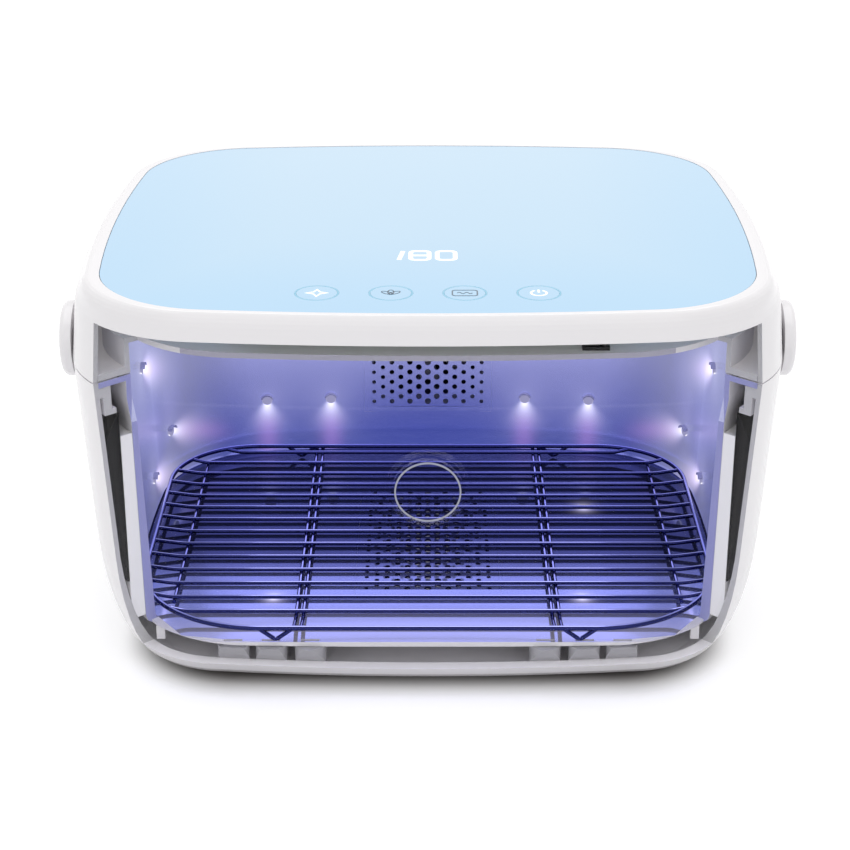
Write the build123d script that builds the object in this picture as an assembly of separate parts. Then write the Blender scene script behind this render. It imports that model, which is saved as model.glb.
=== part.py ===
"""Countertop UV steriliser and dryer case for pacifiers and bottles.

A hinged lid with a glass control panel closes a double-walled box.  The front
of the outer wall is a clear window, so the wall sections, the mirror-finished
chamber and the wire rack can be seen from the front.

Millimetres, +X right, +Y to the back, +Z up.  The origin is on the table,
below the middle of the object.
"""
from build123d import *
import os
from math import cos, hypot, radians, sin, sqrt

# ------------------------------------------------------------ outer form
HALF_WIDTH = 164.6          # outer wall at the parting line
HALF_DEPTH = 141.9
CORNER_RADIUS = 66.0        # plan corners at the parting line
FRONT_BOW_RADIUS = 1000.0   # front and back walls are slightly bowed
SIDE_BOW_RADIUS = 850.0
FOOT_HEIGHT = 2.0           # rubber feet below the base
PARTING_HEIGHT = 147.65     # middle of the gap between the base and the lid
PARTING_GAP = 0.7
LID_TOP_HEIGHT = 188.2      # crest of the rim round the glass
WALL = 2.4                  # moulded skin of the base and the lid
BOTTOM_WALL = 3.8           # the skin thickens towards the underside
BASE_DRAFT = 0.062          # inward lean of the walls per unit of height
LID_DRAFT = 0.09
BOTTOM_EDGE_HEIGHT = 57.0   # elliptical rounding at the foot of the base
BOTTOM_EDGE_DEPTH = 19.0
TOP_EDGE_HEIGHT = 14.0      # elliptical rounding at the top of the lid
TOP_EDGE_DEPTH_SIDE = 7.0
TOP_EDGE_DEPTH_FRONT = 3.0
ROUNDING_STEPS = 8

# ------------------------------------------------------------ hinge
HINGE_OFFSET = 4.5          # axis behind the back wall
HINGE_BARREL_RADIUS = 4.0
HINGE_PIN_RADIUS = 1.5
RUNNING_CLEARANCE = 0.05    # radial, pin in the turning knuckle
HINGE_SPACING = 84.0        # between the middles of the two hinges
HINGE_LENGTH = 34.0
HINGE_KNUCKLE = 16.0        # turning knuckle on the lid
HINGE_SIDE_GAP = 0.4
HINGE_PLATE_ROOT = 6.0      # depth of the plate in the wall, before the skin cuts it
HINGE_SHOULDER = 3.0
HINGE_SKIN_GAP = 0.02
HINGE_LEAF_REACH = 24.0     # height of each leaf on its wall
HINGE_LEAF_THICKNESS = 2.6

# the hinge stands out at the back, so the box sits forward of the origin
BODY_Y = -(HINGE_OFFSET + HINGE_BARREL_RADIUS) / 2
HINGE_Y = BODY_Y + HALF_DEPTH + HINGE_OFFSET

# ------------------------------------------------------------ glass panel
PANEL_HALF_WIDTH = 150.0
PANEL_HALF_DEPTH = 133.0
PANEL_CORNER_RADIUS = 55.0
PANEL_THICKNESS = 3.0
PANEL_TOP_HEIGHT = 188.0
PANEL_GAP = 0.3
PANEL_LEDGE = 9.0           # shelf below the edge of the glass
PANEL_LEDGE_THICKNESS = 2.2

# ------------------------------------------------------------ front opening
WINDOW_CORNER_X = 144.5     # outer corner of the cut in the front wall
WINDOW_CORNER_Y = -110.5
WINDOW_CUT_SLOPE = 0.9      # the cut runs inward square to the wall
WINDOW_INNER_X = 122.0      # inner end of the cut, inside the chamber
WINDOW_BOTTOM_HEIGHT = 11.1
WINDOW_TOP_HEIGHT = 175.6
WINDOW_FIT_GAP = 0.25

# ------------------------------------------------------------ chamber
MOUTH_HALF_WIDTH = 149.1    # inner face of the chamber at its mouth
MOUTH_HALF_DEPTH = 116.5
CHAMBER_Y = BODY_Y - 10.0   # the machine space behind makes it sit forward
CHAMBER_CORNER_RADIUS = 66.0
CHAMBER_FLOOR_HEIGHT = 22.0
CHAMBER_CEILING_HEIGHT = 162.0
LINER_RIM_THICKNESS = 2.7
LINER_WALL_TOP = 2.5
LINER_WALL_BOTTOM = 5.2
LINER_FLOOR_THICKNESS = 2.4
LINER_STEP_TOP = 136.0      # bevel below the mouth
LINER_STEP_BOTTOM = 124.0
LINER_STEP = 1.9
LINER_DRAFT = 0.034
LINER_FLOOR_ROUND = 3.0     # height of the rounded inner floor edge
LINER_FLOOR_ROUND_DEPTH = 1.6
FLOOR_EDGE_Y = BODY_Y - 118.9   # front edge of the floor
FLOOR_EDGE_HALF_WIDTH = 133.5
FLOOR_EDGE_RADIUS = 38.0
GRILLE_SEAT_GAP = 0.05
ASSEMBLY_GAP = 0.2

# ------------------------------------------------------------ wall rim parts
RIM_LEDGE_THICKNESS = 4.6
RIM_LEDGE_INSET = 8.8
RIM_TONGUE_THICKNESS = 3.8
RIM_TONGUE_HEIGHT = 13.5
RIM_WEB_THICKNESS = 2.5
RIM_WEB_REACH = 2.3
RAIL_INSET = 12.2           # heat-sink rail in the side wall
RAIL_THICKNESS = 7.5
RAIL_BOTTOM_HEIGHT = 26.0
RAIL_TOP_HEIGHT = 119.0
RAIL_BACK_Y = 86.0
PAD_BOTTOM_HEIGHT = 46.0    # foam pad between the rail and the skin
PAD_TAPER_HEIGHT = 22.0     # both ends of the pad run out to a thin edge
PAD_EDGE = 0.8

# ------------------------------------------------------------ lid inside
LID_FLANGE_THICKNESS = 3.0
LID_WALL = 2.4
CEILING_THICKNESS = 2.5
CEILING_FRONT_INSET = 4.9   # the ceiling plate ends behind the front wall
SEAL_WIDTH = 3.0
SEAL_HEIGHT = 0.6
SEAL_INSET = 3.4
BOARD_THICKNESS = 1.6
CONTROL_BOARD_HALF_WIDTH = 82.0
CONTROL_BOARD_DEPTH = 74.0
CONTROL_BOARD_Y = BODY_Y - 84.0
CONTROL_BOARD_DROP = 5.0    # below the glass
KEY_Y = BODY_Y - 107.1
KEY_PITCH = 32.05
KEY_COUNT = 4
KEY_RING_RADIUS = 9.7
KEY_RING_WIDTH = 0.8
KEY_RING_DEPTH = 1.2
KEY_PAD_RADIUS = 6.5
DISPLAY_WIDTH = 34.0
DISPLAY_DEPTH = 20.0
DISPLAY_Y = BODY_Y - 55.8
CEILING_LED_X = 62.0
CEILING_LED_Y = 44.0
SIDE_CAP_RADIUS = 17.6
SIDE_CAP_REACH = 6.0        # proud of the wall at the parting line
SIDE_CAP_Y = BODY_Y - 55.0
SIDE_CAP_EDGE = 3.0
SENSOR_X = 73.0
SENSOR_Y = BODY_Y - 113.0
SENSOR_WIDTH = 12.0
SENSOR_BRACKET_DEPTH = 5.0
SENSOR_BRACKET_THICKNESS = 1.6
SENSOR_HEAD_DEPTH = 2.4
SENSOR_HEAD_SIDE = 1.5      # right side of the head, from the middle of the sensor
SENSOR_HEAD_TOP = 4.0
SENSOR_SINK = 0.1           # head let into its bracket
SENSOR_BOSS_RADIUS = 1.7
SENSOR_BOSS_INSET = 2.0
CEILING_BOARD_HALF_WIDTH = 8.0
CEILING_BOARD_END = 10.0    # beyond its lamps
LID_ROOF_STEP = 0.4
KEY_RING_SEAT = 0.05        # round the rings, in the glass
KEY_RING_LIFT = 0.02        # below the rings
SEAL_LIFT = 0.05
SIDE_CAP_BOSS_RADIUS = 6.0
SIDE_CAP_BOSS_DEPTH = 1.5
SIDE_CAP_BOSS_RISE = 9.0    # above the parting line
SIDE_CAP_GAP = 0.3          # over the base, which the lid leaves behind

# ------------------------------------------------------------ catch
BUTTON_HEIGHT = 108.0
BUTTON_RADIUS = 15.2
BUTTON_GAP = 0.4
BUTTON_PROUD = 0.4
BUTTON_LIP = 1.6
BUTTON_LIP_THICKNESS = 1.6
LIP_STAND_OFF = 1.8         # lip behind the leaning wall
HOOK_DEPTH = 3.4            # hook below the rim of the base
BUTTON_TRAVEL = 3.0
BUTTON_LINE_WIDTH = 0.7
BUTTON_LINE_DEPTH = 0.5
CARRIER_WALL = 1.4
CARRIER_DEPTH = 13.0
SPRING_RADIUS = 6.0
SPRING_WIRE = 0.8
SPRING_TURNS = 3
STEM_WIDTH = 9.0
STEM_THICKNESS = 1.6
HOOK_HEIGHT = 2.2
HOOK_REACH = 0.8
STRIKER_THICKNESS = 1.2
STRIKER_LIP = 0.6
STRIKER_LIP_HEIGHT = 1.6
STRIKER_ROOT = 8.0
STRIKER_SIDE = 2.0
CATCH_GAP = 0.3
BUTTON_LINE_INSET = 1.0
BUTTON_LINE_GAP = 0.03
SPRING_WIRE_SIDES = 4
SKIN_CONTACT_GAP = 0.06     # parts that are welded to a skin

# ------------------------------------------------------------ wire rack
RACK_HEIGHT = 27.0          # axis of the cross wires
RACK_WIRE_RADIUS = 1.0
RACK_RIM_RADIUS = 1.2
RACK_WIRE_SIDES = 6
RACK_RIM_RISE = 2.0         # rim above the cross wires
RACK_HALF_WIDTH = 137.3
RACK_FRONT_Y = BODY_Y - 118.4
RACK_BACK_Y = BODY_Y + 88.0
RACK_FRONT_RADIUS = 60.0    # plan corners, to clear the chamber wall
RACK_BACK_RADIUS = 44.0
RACK_WIRE_COUNT = 14
RACK_WIRE_PITCH = 14.03
RACK_FIRST_WIRE = 20.0      # from the front rim to the first cross wire
RACK_INNER_RAIL_X = 125.5
RACK_BEARER_X = 60.0
RACK_BEARER_GAP = 3.4
RACK_FOOT_X = 70.0
RACK_FOOT_HALF_WIDTH = 8.0
RACK_FOOT_GAP = 0.4         # bend allowance above the floor
RACK_BEND_INSET = 3.0       # cross wires turn up outside the inner rails
RACK_BEND_MIN = 8.0         # shortest raised end of a cross wire
RACK_RAIL_INSET = 5.0
RACK_RAIL_END = 12.0
RACK_BEARER_END = 5.0
RACK_BEARER_DROP = 1.7      # lower wires, in wire radii below the cross wires

# ------------------------------------------------------------ grilles
HOLE_SPACING = 5.75
HOLE_RADIUS_MIDDLE = 1.6
HOLE_RADIUS_EDGE = 1.0
HOLE_SIDES = 4
GRILLE_COLUMNS = 13
BACK_GRILLE_ROWS = 21
BACK_GRILLE_HEIGHT = 79.0
FLOOR_GRILLE_ROWS = 35
FLOOR_GRILLE_Y = BODY_Y - 17.5
GRILLE_MARGIN = 3.0

# ------------------------------------------------------------ lights
LED_BODY_RADIUS = 2.6
LED_PROUD = 0.8
LED_DEPTH = 3.0
HOOD_RADIUS = 3.6
HOOD_REACH = 2.4
HOOD_WALL = 0.7
HOOD_STAND_OFF = 0.2        # clears the leaning wall
HOOD_OPEN_SHARE = 0.35      # of its radius, above the lamp's middle
LED_BORE_DEPTH = 9.0
BACK_LED_X = (54.0, 89.3)
BACK_LED_HEIGHT = 52.5
SIDE_LEDS = ((18.4, 102.8), (60.3, 50.2), (23.9, 38.6))   # y from the box middle, height

# ------------------------------------------------------------ machine space
FAN_SIZE = 60.0
FAN_THICKNESS = 15.0
FAN_BORE_RADIUS = 28.0
FAN_HUB_RADIUS = 11.0
FAN_BLADE_RADIUS = 27.0
FAN_BLADES = 7
FAN_BLADE_PITCH = 38.0
FAN_Y = BODY_Y + 124.85     # middle of the fan, against the rear skin
FAN_CORNER = 4.0
FAN_STRUT_ANGLE = 45.0
FAN_STRUT_ROOM = 2.6        # from the rear of the frame to the impeller
FAN_BLADE_SHARE = 0.86      # chord of a blade in the depth it may fill
FAN_BLADE_THICKNESS = 1.3
VENT_START_SHARE = 0.85     # of the half depth, clear of all but the rear wall
HEATER_THICKNESS = 6.0
HEATER_FINS = 12
POST_RADIUS = 7.3
POST_X = (54.3, 72.4, 89.9)
POST_Y = BODY_Y - 115.0
DRAIN_SLOT_Y = BODY_Y - 117.0
CORNER_FOOT_X = 125.5       # small feet under the front corners of the floor
CORNER_FOOT_Y = BODY_Y - 99.5
CORNER_FOOT_WIDTH = 4.0
CORNER_FOOT_DEPTH = 3.0
CORNER_FOOT_HEIGHT = 6.0
DRAIN_SLOT_WIDTH = 8.6
DRAIN_SLOT_DEPTH = 1.6
MAIN_BOARD_WIDTH = 150.0
MAIN_BOARD_DEPTH = 52.0
MAIN_BOARD_Y = BODY_Y + 68.0
BOARD_PART_HEIGHT = 8.0     # tallest parts on the power board
MAIN_BOARD_HEIGHT = 8.4
COIL_X = -48.0
COIL_SIZE = 24.0
CAPACITOR_RADIUS = 4.5
CAPACITOR_X = (0.0, 14.0, 28.0)
CAPACITOR_Y = MAIN_BOARD_Y + 8.0
BOARD_POST_RADIUS = 3.0
BOARD_POST_INSET = 6.0
JACK_X = 84.0
JACK_HEIGHT = 27.0
JACK_RADIUS = 5.5
JACK_BORE = 3.2
JACK_LENGTH = 11.0
JACK_PIN_RADIUS = 1.0
JACK_FLANGE = 1.2
JACK_PROUD = 0.6
VENT_COUNT = 7
VENT_PITCH = 8.0
VENT_WIDTH = 3.0
VENT_LENGTH = 30.0
FOOT_RADIUS = 9.0
FOOT_X = 96.0
FOOT_Y = 74.0

# ------------------------------------------------------------ derived sizes
BASE_TOP = PARTING_HEIGHT - PARTING_GAP / 2
LID_BOTTOM = PARTING_HEIGHT + PARTING_GAP / 2
BASE_BOTTOM = FOOT_HEIGHT
RIM_LEDGE_TOP = BASE_TOP - LINER_RIM_THICKNESS - ASSEMBLY_GAP
RIM_TONGUE_BOTTOM = RIM_LEDGE_TOP - RIM_TONGUE_HEIGHT
PAD_TOP_HEIGHT = RIM_TONGUE_BOTTOM - ASSEMBLY_GAP
LIP_Y = BODY_Y - HALF_DEPTH + (BASE_TOP - BUTTON_HEIGHT) * BASE_DRAFT + WALL + LIP_STAND_OFF
HOOK_TOP = BASE_TOP - HOOK_DEPTH
FAR = 400.0                 # longer than the object, for cutting solids
CUT_REACH = 60.0            # beyond the corners of the window
RAIL_FRONT_ROOM = 30.0      # in front of the window corner, before the cut
QUARTER_STEPS = 3           # straight steps in the rounded foot of the chamber


# ============================================================ outlines
def circle_meet(c0, r0, c1, r1):
    """Right-hand crossing point of two circles (smaller y of the pair)."""
    dx, dy = c1[0] - c0[0], c1[1] - c0[1]
    gap = hypot(dx, dy)
    along = (gap ** 2 + r0 ** 2 - r1 ** 2) / (2 * gap)
    side = sqrt(r0 ** 2 - along ** 2)
    ux, uy = dx / gap, dy / gap
    points = [(c0[0] + along * ux - s * side * uy, c0[1] + along * uy + s * side * ux) for s in (1, -1)]
    return min(points, key=lambda p: p[1])


def bowed_outline(half_width, half_depth, centre_y, corner, height):
    """Closed wire of eight tangent arcs: four bowed sides and four corners."""
    front = (0.0, FRONT_BOW_RADIUS - half_depth)
    side = (half_width - SIDE_BOW_RADIUS, 0.0)
    cx, cy = circle_meet(side, SIDE_BOW_RADIUS - corner, front, FRONT_BOW_RADIUS - corner)

    def touch(centre, radius):
        reach = hypot(cx - centre[0], cy - centre[1])
        return (centre[0] + (cx - centre[0]) * radius / reach,
                centre[1] + (cy - centre[1]) * radius / reach)

    a, b = touch(front, FRONT_BOW_RADIUS), touch(side, SIDE_BOW_RADIUS)
    mx, my = a[0] + b[0] - 2 * cx, a[1] + b[1] - 2 * cy
    m = (cx + mx / hypot(mx, my) * corner, cy + my / hypot(mx, my) * corner)

    def at(point, sx=1, sy=1):
        return Vector(point[0] * sx, point[1] * sy + centre_y, height)

    arc = Edge.make_three_point_arc
    return Wire([
        arc(at(a, -1), at((0, -half_depth)), at(a)), arc(at(a), at(m), at(b)),
        arc(at(b), at((half_width, 0)), at(b, 1, -1)), arc(at(b, 1, -1), at(m, 1, -1), at(a, 1, -1)),
        arc(at(a, 1, -1), at((0, half_depth)), at(a, -1, -1)),
        arc(at(a, -1, -1), at(m, -1, -1), at(b, -1, -1)),
        arc(at(b, -1, -1), at((-half_width, 0)), at(b, -1)), arc(at(b, -1), at(m, -1), at(a, -1)),
    ])


def body_wire(inset, height, inset_front=None):
    """Outer wall outline moved inward by inset."""
    inset_front = inset if inset_front is None else inset_front
    return bowed_outline(HALF_WIDTH - inset, HALF_DEPTH - inset_front, BODY_Y, CORNER_RADIUS - inset, height)


def chamber_wire(inset, height):
    """Chamber mouth outline moved inward by inset."""
    return bowed_outline(MOUTH_HALF_WIDTH - inset, MOUTH_HALF_DEPTH - inset, CHAMBER_Y,
                         CHAMBER_CORNER_RADIUS - inset, height)


def panel_wire(inset, height):
    return bowed_outline(PANEL_HALF_WIDTH - inset, PANEL_HALF_DEPTH - inset, BODY_Y,
                         PANEL_CORNER_RADIUS - inset, height)


def prism(wire, height):
    """Straight solid standing on a flat closed wire."""
    return Solid.extrude(Face(wire), Vector(0, 0, height))


def ring(outer, inner, height):
    return prism(outer, height) - prism(inner, height)


def base_inset(height):
    """How far the base wall stands in from the parting outline."""
    rise = BOTTOM_EDGE_HEIGHT + BASE_BOTTOM - height
    rounding = 0.0
    if rise > 0:
        rounding = BOTTOM_EDGE_DEPTH * (1 - sqrt(max(0.0, 1 - (rise / BOTTOM_EDGE_HEIGHT) ** 2)))
    return (BASE_TOP - height) * BASE_DRAFT + rounding


def base_form(skin, floor):
    """Solid of the base, skin inside its outer face and floor above its underside."""
    wires = []
    for step in range(ROUNDING_STEPS + 1):
        angle = radians(90 * (1 - step / ROUNDING_STEPS))
        height = BASE_BOTTOM + BOTTOM_EDGE_HEIGHT * (1 - sin(angle))
        lift = floor * sin(angle)
        wires.append(body_wire(base_inset(height) + skin + (floor - skin) * sin(angle), height + lift))
    wires.append(body_wire(skin, BASE_TOP))
    return Solid.make_loft(wires, ruled=True)


def lid_form(skin, roof):
    """Solid of the lid, skin inside its outer face and roof below its top."""
    wires = [body_wire(skin, LID_BOTTOM)]
    start = LID_TOP_HEIGHT - TOP_EDGE_HEIGHT
    for step in range(ROUNDING_STEPS + 1):
        angle = radians(90 * step / ROUNDING_STEPS)
        height = start + TOP_EDGE_HEIGHT * sin(angle)
        lean = (height - LID_BOTTOM) * LID_DRAFT
        wires.append(body_wire(lean + skin + TOP_EDGE_DEPTH_SIDE * (1 - cos(angle)),
                               height - roof * sin(angle),
                               lean + skin + TOP_EDGE_DEPTH_FRONT * (1 - cos(angle))))
    return Solid.make_loft(wires, ruled=True)


def chamber_inset(height):
    """Inner chamber wall, in from the mouth outline."""
    if height >= LINER_STEP_TOP:
        return 0.0
    if height >= LINER_STEP_BOTTOM:
        return LINER_STEP * (LINER_STEP_TOP - height) / (LINER_STEP_TOP - LINER_STEP_BOTTOM)
    return LINER_STEP + LINER_DRAFT * (LINER_STEP_BOTTOM - height)


def chamber_wall(height):
    """Thickness of the liner wall, heavier towards the floor."""
    share = (BASE_TOP - height) / (BASE_TOP - CHAMBER_FLOOR_HEIGHT)
    return LINER_WALL_TOP + (LINER_WALL_BOTTOM - LINER_WALL_TOP) * share


def chamber_space():
    """The hollow of the chamber, from its floor to above its mouth."""
    floor = CHAMBER_FLOOR_HEIGHT
    wires = []
    for step in range(QUARTER_STEPS + 1):
        angle = radians(90 / QUARTER_STEPS * step)
        height = floor + LINER_FLOOR_ROUND * (1 - cos(angle))
        wires.append(chamber_wire(chamber_inset(height) + LINER_FLOOR_ROUND_DEPTH * (1 - sin(angle)), height))
    for height in (LINER_STEP_BOTTOM, LINER_STEP_TOP, BASE_TOP + 1):
        wires.append(chamber_wire(chamber_inset(height), height))
    return Solid.make_loft(wires, ruled=True)


def chamber_outside(grow=0.0):
    """Outer face of the liner wall and floor, grown by a clearance."""
    floor = CHAMBER_FLOOR_HEIGHT - LINER_FLOOR_THICKNESS - grow
    wires = []
    for step in range(QUARTER_STEPS + 1):
        angle = radians(90 / QUARTER_STEPS * step)
        height = floor + (LINER_FLOOR_ROUND + LINER_FLOOR_THICKNESS) * (1 - cos(angle))
        round_inset = (LINER_FLOOR_ROUND_DEPTH + LINER_WALL_BOTTOM) * (1 - sin(angle))
        wires.append(chamber_wire(chamber_inset(height) - LINER_WALL_BOTTOM + round_inset - grow, height))
    for height in (LINER_STEP_BOTTOM, LINER_STEP_TOP, BASE_TOP):
        wires.append(chamber_wire(chamber_inset(height) - chamber_wall(height) - grow, height))
    return Solid.make_loft(wires, ruled=True)


def window_prism(low, high, shrink=0.0):
    """Front region opened for the window, between two heights.

    Its two ends cut the walls square, and shrink pulls every face inward to
    leave the fitting gap round a pane.
    """
    slant = shrink * sqrt(1 + WINDOW_CUT_SLOPE ** 2)
    corner = (WINDOW_CORNER_X - slant, WINDOW_CORNER_Y + BODY_Y)
    inner = (WINDOW_INNER_X, corner[1] + (corner[0] - WINDOW_INNER_X) * WINDOW_CUT_SLOPE)
    outer = (corner[0] + CUT_REACH, corner[1] - CUT_REACH * WINDOW_CUT_SLOPE)
    points = [inner, outer, (outer[0], outer[1] - CUT_REACH), (-outer[0], outer[1] - CUT_REACH),
              (-outer[0], outer[1]), (-inner[0], inner[1])]
    face = make_face(Polyline(*points, close=True))
    return Pos(0, 0, low + shrink) * extrude(face, high - low - 2 * shrink)


def box(x0, x1, y0, y1, z0, z1):
    """Block between two corners."""
    return Pos((x0 + x1) / 2, (y0 + y1) / 2, (z0 + z1) / 2) * Box(x1 - x0, y1 - y0, z1 - z0)


def rod(radius, start, end):
    """Cylinder from one point to another."""
    start, end = Vector(*start), Vector(*end)
    return Solid.make_cylinder(radius, (end - start).length, Plane(origin=start, z_dir=end - start))


def mirror_x(shape):
    return shape.mirror(Plane.YZ)


def fuse(shapes):
    """One solid from shapes that overlap or meet."""
    first, *rest = shapes
    return first.fuse(*rest) if rest else first


def wall_back(height):
    """Y of the outer rear wall on the centre line."""
    return BODY_Y + HALF_DEPTH - base_inset(height)


# ============================================================ base
def make_base_shell():
    """Outer moulding: skin, rim ledge with its down-turned tongue, and bottom."""
    hollow = base_form(WALL, BOTTOM_WALL)
    shell = base_form(0, 0) - hollow
    ledge_outer = body_wire(WALL / 2, RIM_LEDGE_TOP - RIM_LEDGE_THICKNESS)
    ledge_inner = body_wire(RIM_LEDGE_INSET, RIM_LEDGE_TOP - RIM_LEDGE_THICKNESS)
    ledge = ring(ledge_outer, ledge_inner, RIM_LEDGE_THICKNESS)
    tongue_outer = body_wire(RIM_LEDGE_INSET - RIM_TONGUE_THICKNESS, RIM_TONGUE_BOTTOM)
    tongue = ring(tongue_outer, body_wire(RIM_LEDGE_INSET, RIM_TONGUE_BOTTOM), RIM_TONGUE_HEIGHT)
    web_inner = body_wire(RIM_LEDGE_INSET + RIM_WEB_REACH, RIM_TONGUE_BOTTOM)
    web = ring(tongue_outer, web_inner, RIM_WEB_THICKNESS)
    shell = fuse([shell, ledge, tongue, web])
    shell -= window_prism(WINDOW_BOTTOM_HEIGHT, BASE_TOP + 1)
    jack_start = (JACK_X, BODY_Y + HALF_DEPTH / 2, JACK_HEIGHT)
    shell -= rod(JACK_RADIUS + ASSEMBLY_GAP, jack_start, (JACK_X, FAR, JACK_HEIGHT))
    for index in range(VENT_COUNT):
        x = (index - (VENT_COUNT - 1) / 2) * VENT_PITCH
        shell -= box(x - VENT_WIDTH / 2, x + VENT_WIDTH / 2, BODY_Y + HALF_DEPTH * VENT_START_SHARE, FAR,
                     BACK_GRILLE_HEIGHT - VENT_LENGTH / 2, BACK_GRILLE_HEIGHT + VENT_LENGTH / 2)
    return shell


def grille_size(rows):
    """Width and height of a perforated field with its margin."""
    column = HOLE_SPACING * sqrt(3) / 2
    return (GRILLE_COLUMNS * column + 2 * GRILLE_MARGIN,
            (rows + 1) * HOLE_SPACING / 2 + 2 * GRILLE_MARGIN)


def hole_field(rows):
    """Flat plate outline with a hexagonal lattice of holes, larger towards the middle column."""
    width, height = grille_size(rows)
    column_pitch = HOLE_SPACING * sqrt(3) / 2
    middle = (GRILLE_COLUMNS - 1) / 2
    holes = []
    for column in range(GRILLE_COLUMNS):
        share = abs(column - middle) / middle
        radius = HOLE_RADIUS_MIDDLE + (HOLE_RADIUS_EDGE - HOLE_RADIUS_MIDDLE) * share
        for row in range(column % 2, rows, 2):
            centre = Pos((column - middle) * column_pitch, (row - (rows - 1) / 2) * HOLE_SPACING / 2)
            holes.append((centre * RegularPolygon(radius, HOLE_SIDES)).face().outer_wire())
    return Face(Rectangle(width, height).face().outer_wire(), holes)


def grille_pocket(rows, depth):
    """Block that clears a grille plate with its seat gap, centred on the plate."""
    width, height = grille_size(rows)
    return Box(width + 2 * GRILLE_SEAT_GAP, height + 2 * GRILLE_SEAT_GAP, depth)


def back_grille_place():
    """Plane of the back grille, in the middle of the rear wall."""
    y = CHAMBER_Y + MOUTH_HALF_DEPTH - chamber_inset(BACK_GRILLE_HEIGHT)
    return Pos(0, y, BACK_GRILLE_HEIGHT) * Rot(X=90)


def floor_grille_place():
    return Pos(0, FLOOR_GRILLE_Y, CHAMBER_FLOOR_HEIGHT - LINER_FLOOR_THICKNESS)


def led_frames():
    """Position and inward direction of every wall light."""
    frames = []
    for x in BACK_LED_X:
        for side in (-1, 1):
            inset = chamber_inset(BACK_LED_HEIGHT)
            sag = x ** 2 / (2 * FRONT_BOW_RADIUS)
            y = CHAMBER_Y + MOUTH_HALF_DEPTH - inset - sag
            inward = Vector(-side * x / FRONT_BOW_RADIUS, -1, 0).normalized()
            frames.append((Vector(side * x, y, BACK_LED_HEIGHT), inward))
    for y, height in SIDE_LEDS:
        across = y + BODY_Y - CHAMBER_Y
        for side in (-1, 1):
            reach = chamber_half_width(across, height)
            slope = (chamber_half_width(across + 1, height) - chamber_half_width(across - 1, height)) / 2
            inward = Vector(-side, -abs(slope), 0).normalized()
            frames.append((Vector(side * reach, y + BODY_Y, height), inward))
    return frames


def chamber_half_width(across, height):
    """Half-width of the chamber at a distance behind its middle."""
    inset = chamber_inset(height)
    half_width, half_depth = MOUTH_HALF_WIDTH - inset, MOUTH_HALF_DEPTH - inset
    corner = CHAMBER_CORNER_RADIUS - inset
    front = (0.0, FRONT_BOW_RADIUS - half_depth)
    side = (half_width - SIDE_BOW_RADIUS, 0.0)
    cx, cy = circle_meet(side, SIDE_BOW_RADIUS - corner, front, FRONT_BOW_RADIUS - corner)
    flat_end = (cy - side[1]) * SIDE_BOW_RADIUS / hypot(cx - side[0], cy - side[1])
    if abs(across) <= abs(flat_end):
        return side[0] + sqrt(SIDE_BOW_RADIUS ** 2 - across ** 2)
    return cx + sqrt(max(0.0, corner ** 2 - (abs(across) - abs(cy)) ** 2))


def floor_edge_prism():
    """Block whose rounded front is the front edge of the chamber floor."""
    depth = 2 * FLOOR_EDGE_HALF_WIDTH
    face = RectangleRounded(2 * FLOOR_EDGE_HALF_WIDTH, depth, FLOOR_EDGE_RADIUS)
    return Pos(0, FLOOR_EDGE_Y + depth / 2, 0) * extrude(face, CHAMBER_FLOOR_HEIGHT)


def make_chamber_liner():
    """Inner moulding: tapered chamber, rim flange and openings for grilles, lights and drains.

    Its floor ends just in front of the rim of the rack, and a small foot
    stands under each front corner.
    """
    flange = ring(body_wire(WALL + ASSEMBLY_GAP, BASE_TOP - LINER_RIM_THICKNESS),
                  chamber_wire(-LINER_WALL_TOP / 2, BASE_TOP - LINER_RIM_THICKNESS), LINER_RIM_THICKNESS)
    outside = chamber_outside() & base_form(WALL + ASSEMBLY_GAP, BOTTOM_WALL)
    liner = fuse([outside, flange]) - chamber_space()
    liner -= window_prism(CHAMBER_FLOOR_HEIGHT, BASE_TOP + 1)
    liner -= window_prism(0, CHAMBER_FLOOR_HEIGHT) - floor_edge_prism()
    liner -= back_grille_place() * grille_pocket(BACK_GRILLE_ROWS, 4 * LINER_WALL_BOTTOM)
    liner -= floor_grille_place() * grille_pocket(FLOOR_GRILLE_ROWS, 4 * LINER_FLOOR_THICKNESS)
    for origin, inward in led_frames():
        bore_end = origin + inward * LED_DEPTH
        liner -= rod(LED_BODY_RADIUS + ASSEMBLY_GAP, tuple(origin - inward * LED_BORE_DEPTH), tuple(bore_end))
    floor_middle = CHAMBER_FLOOR_HEIGHT - LINER_FLOOR_THICKNESS / 2
    slot = Box(DRAIN_SLOT_WIDTH, DRAIN_SLOT_DEPTH, 2 * LINER_FLOOR_THICKNESS)
    for x in POST_X:
        for side in (-1, 1):
            liner -= Pos(side * x, DRAIN_SLOT_Y, floor_middle) * slot
    top = CHAMBER_FLOOR_HEIGHT - LINER_FLOOR_THICKNESS
    feet = [Pos(side * CORNER_FOOT_X, CORNER_FOOT_Y, top - CORNER_FOOT_HEIGHT / 2 + 0.5)
            * Box(CORNER_FOOT_WIDTH, CORNER_FOOT_DEPTH, CORNER_FOOT_HEIGHT + 1) for side in (-1, 1)]
    return fuse([liner] + feet)


def make_back_grille():
    """Perforated plate that continues the drafted and bowed rear wall."""
    depth = 4 * LINER_WALL_BOTTOM
    field = Solid.extrude(hole_field(BACK_GRILLE_ROWS), Vector(0, 0, depth))
    plate = back_grille_place() * Pos(0, 0, -depth / 2) * field
    return (plate & chamber_outside()) - chamber_space()


def make_floor_grille():
    """Perforated plate flush in the chamber floor."""
    field = Solid.extrude(hole_field(FLOOR_GRILLE_ROWS), Vector(0, 0, LINER_FLOOR_THICKNESS))
    return floor_grille_place() * field


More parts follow.
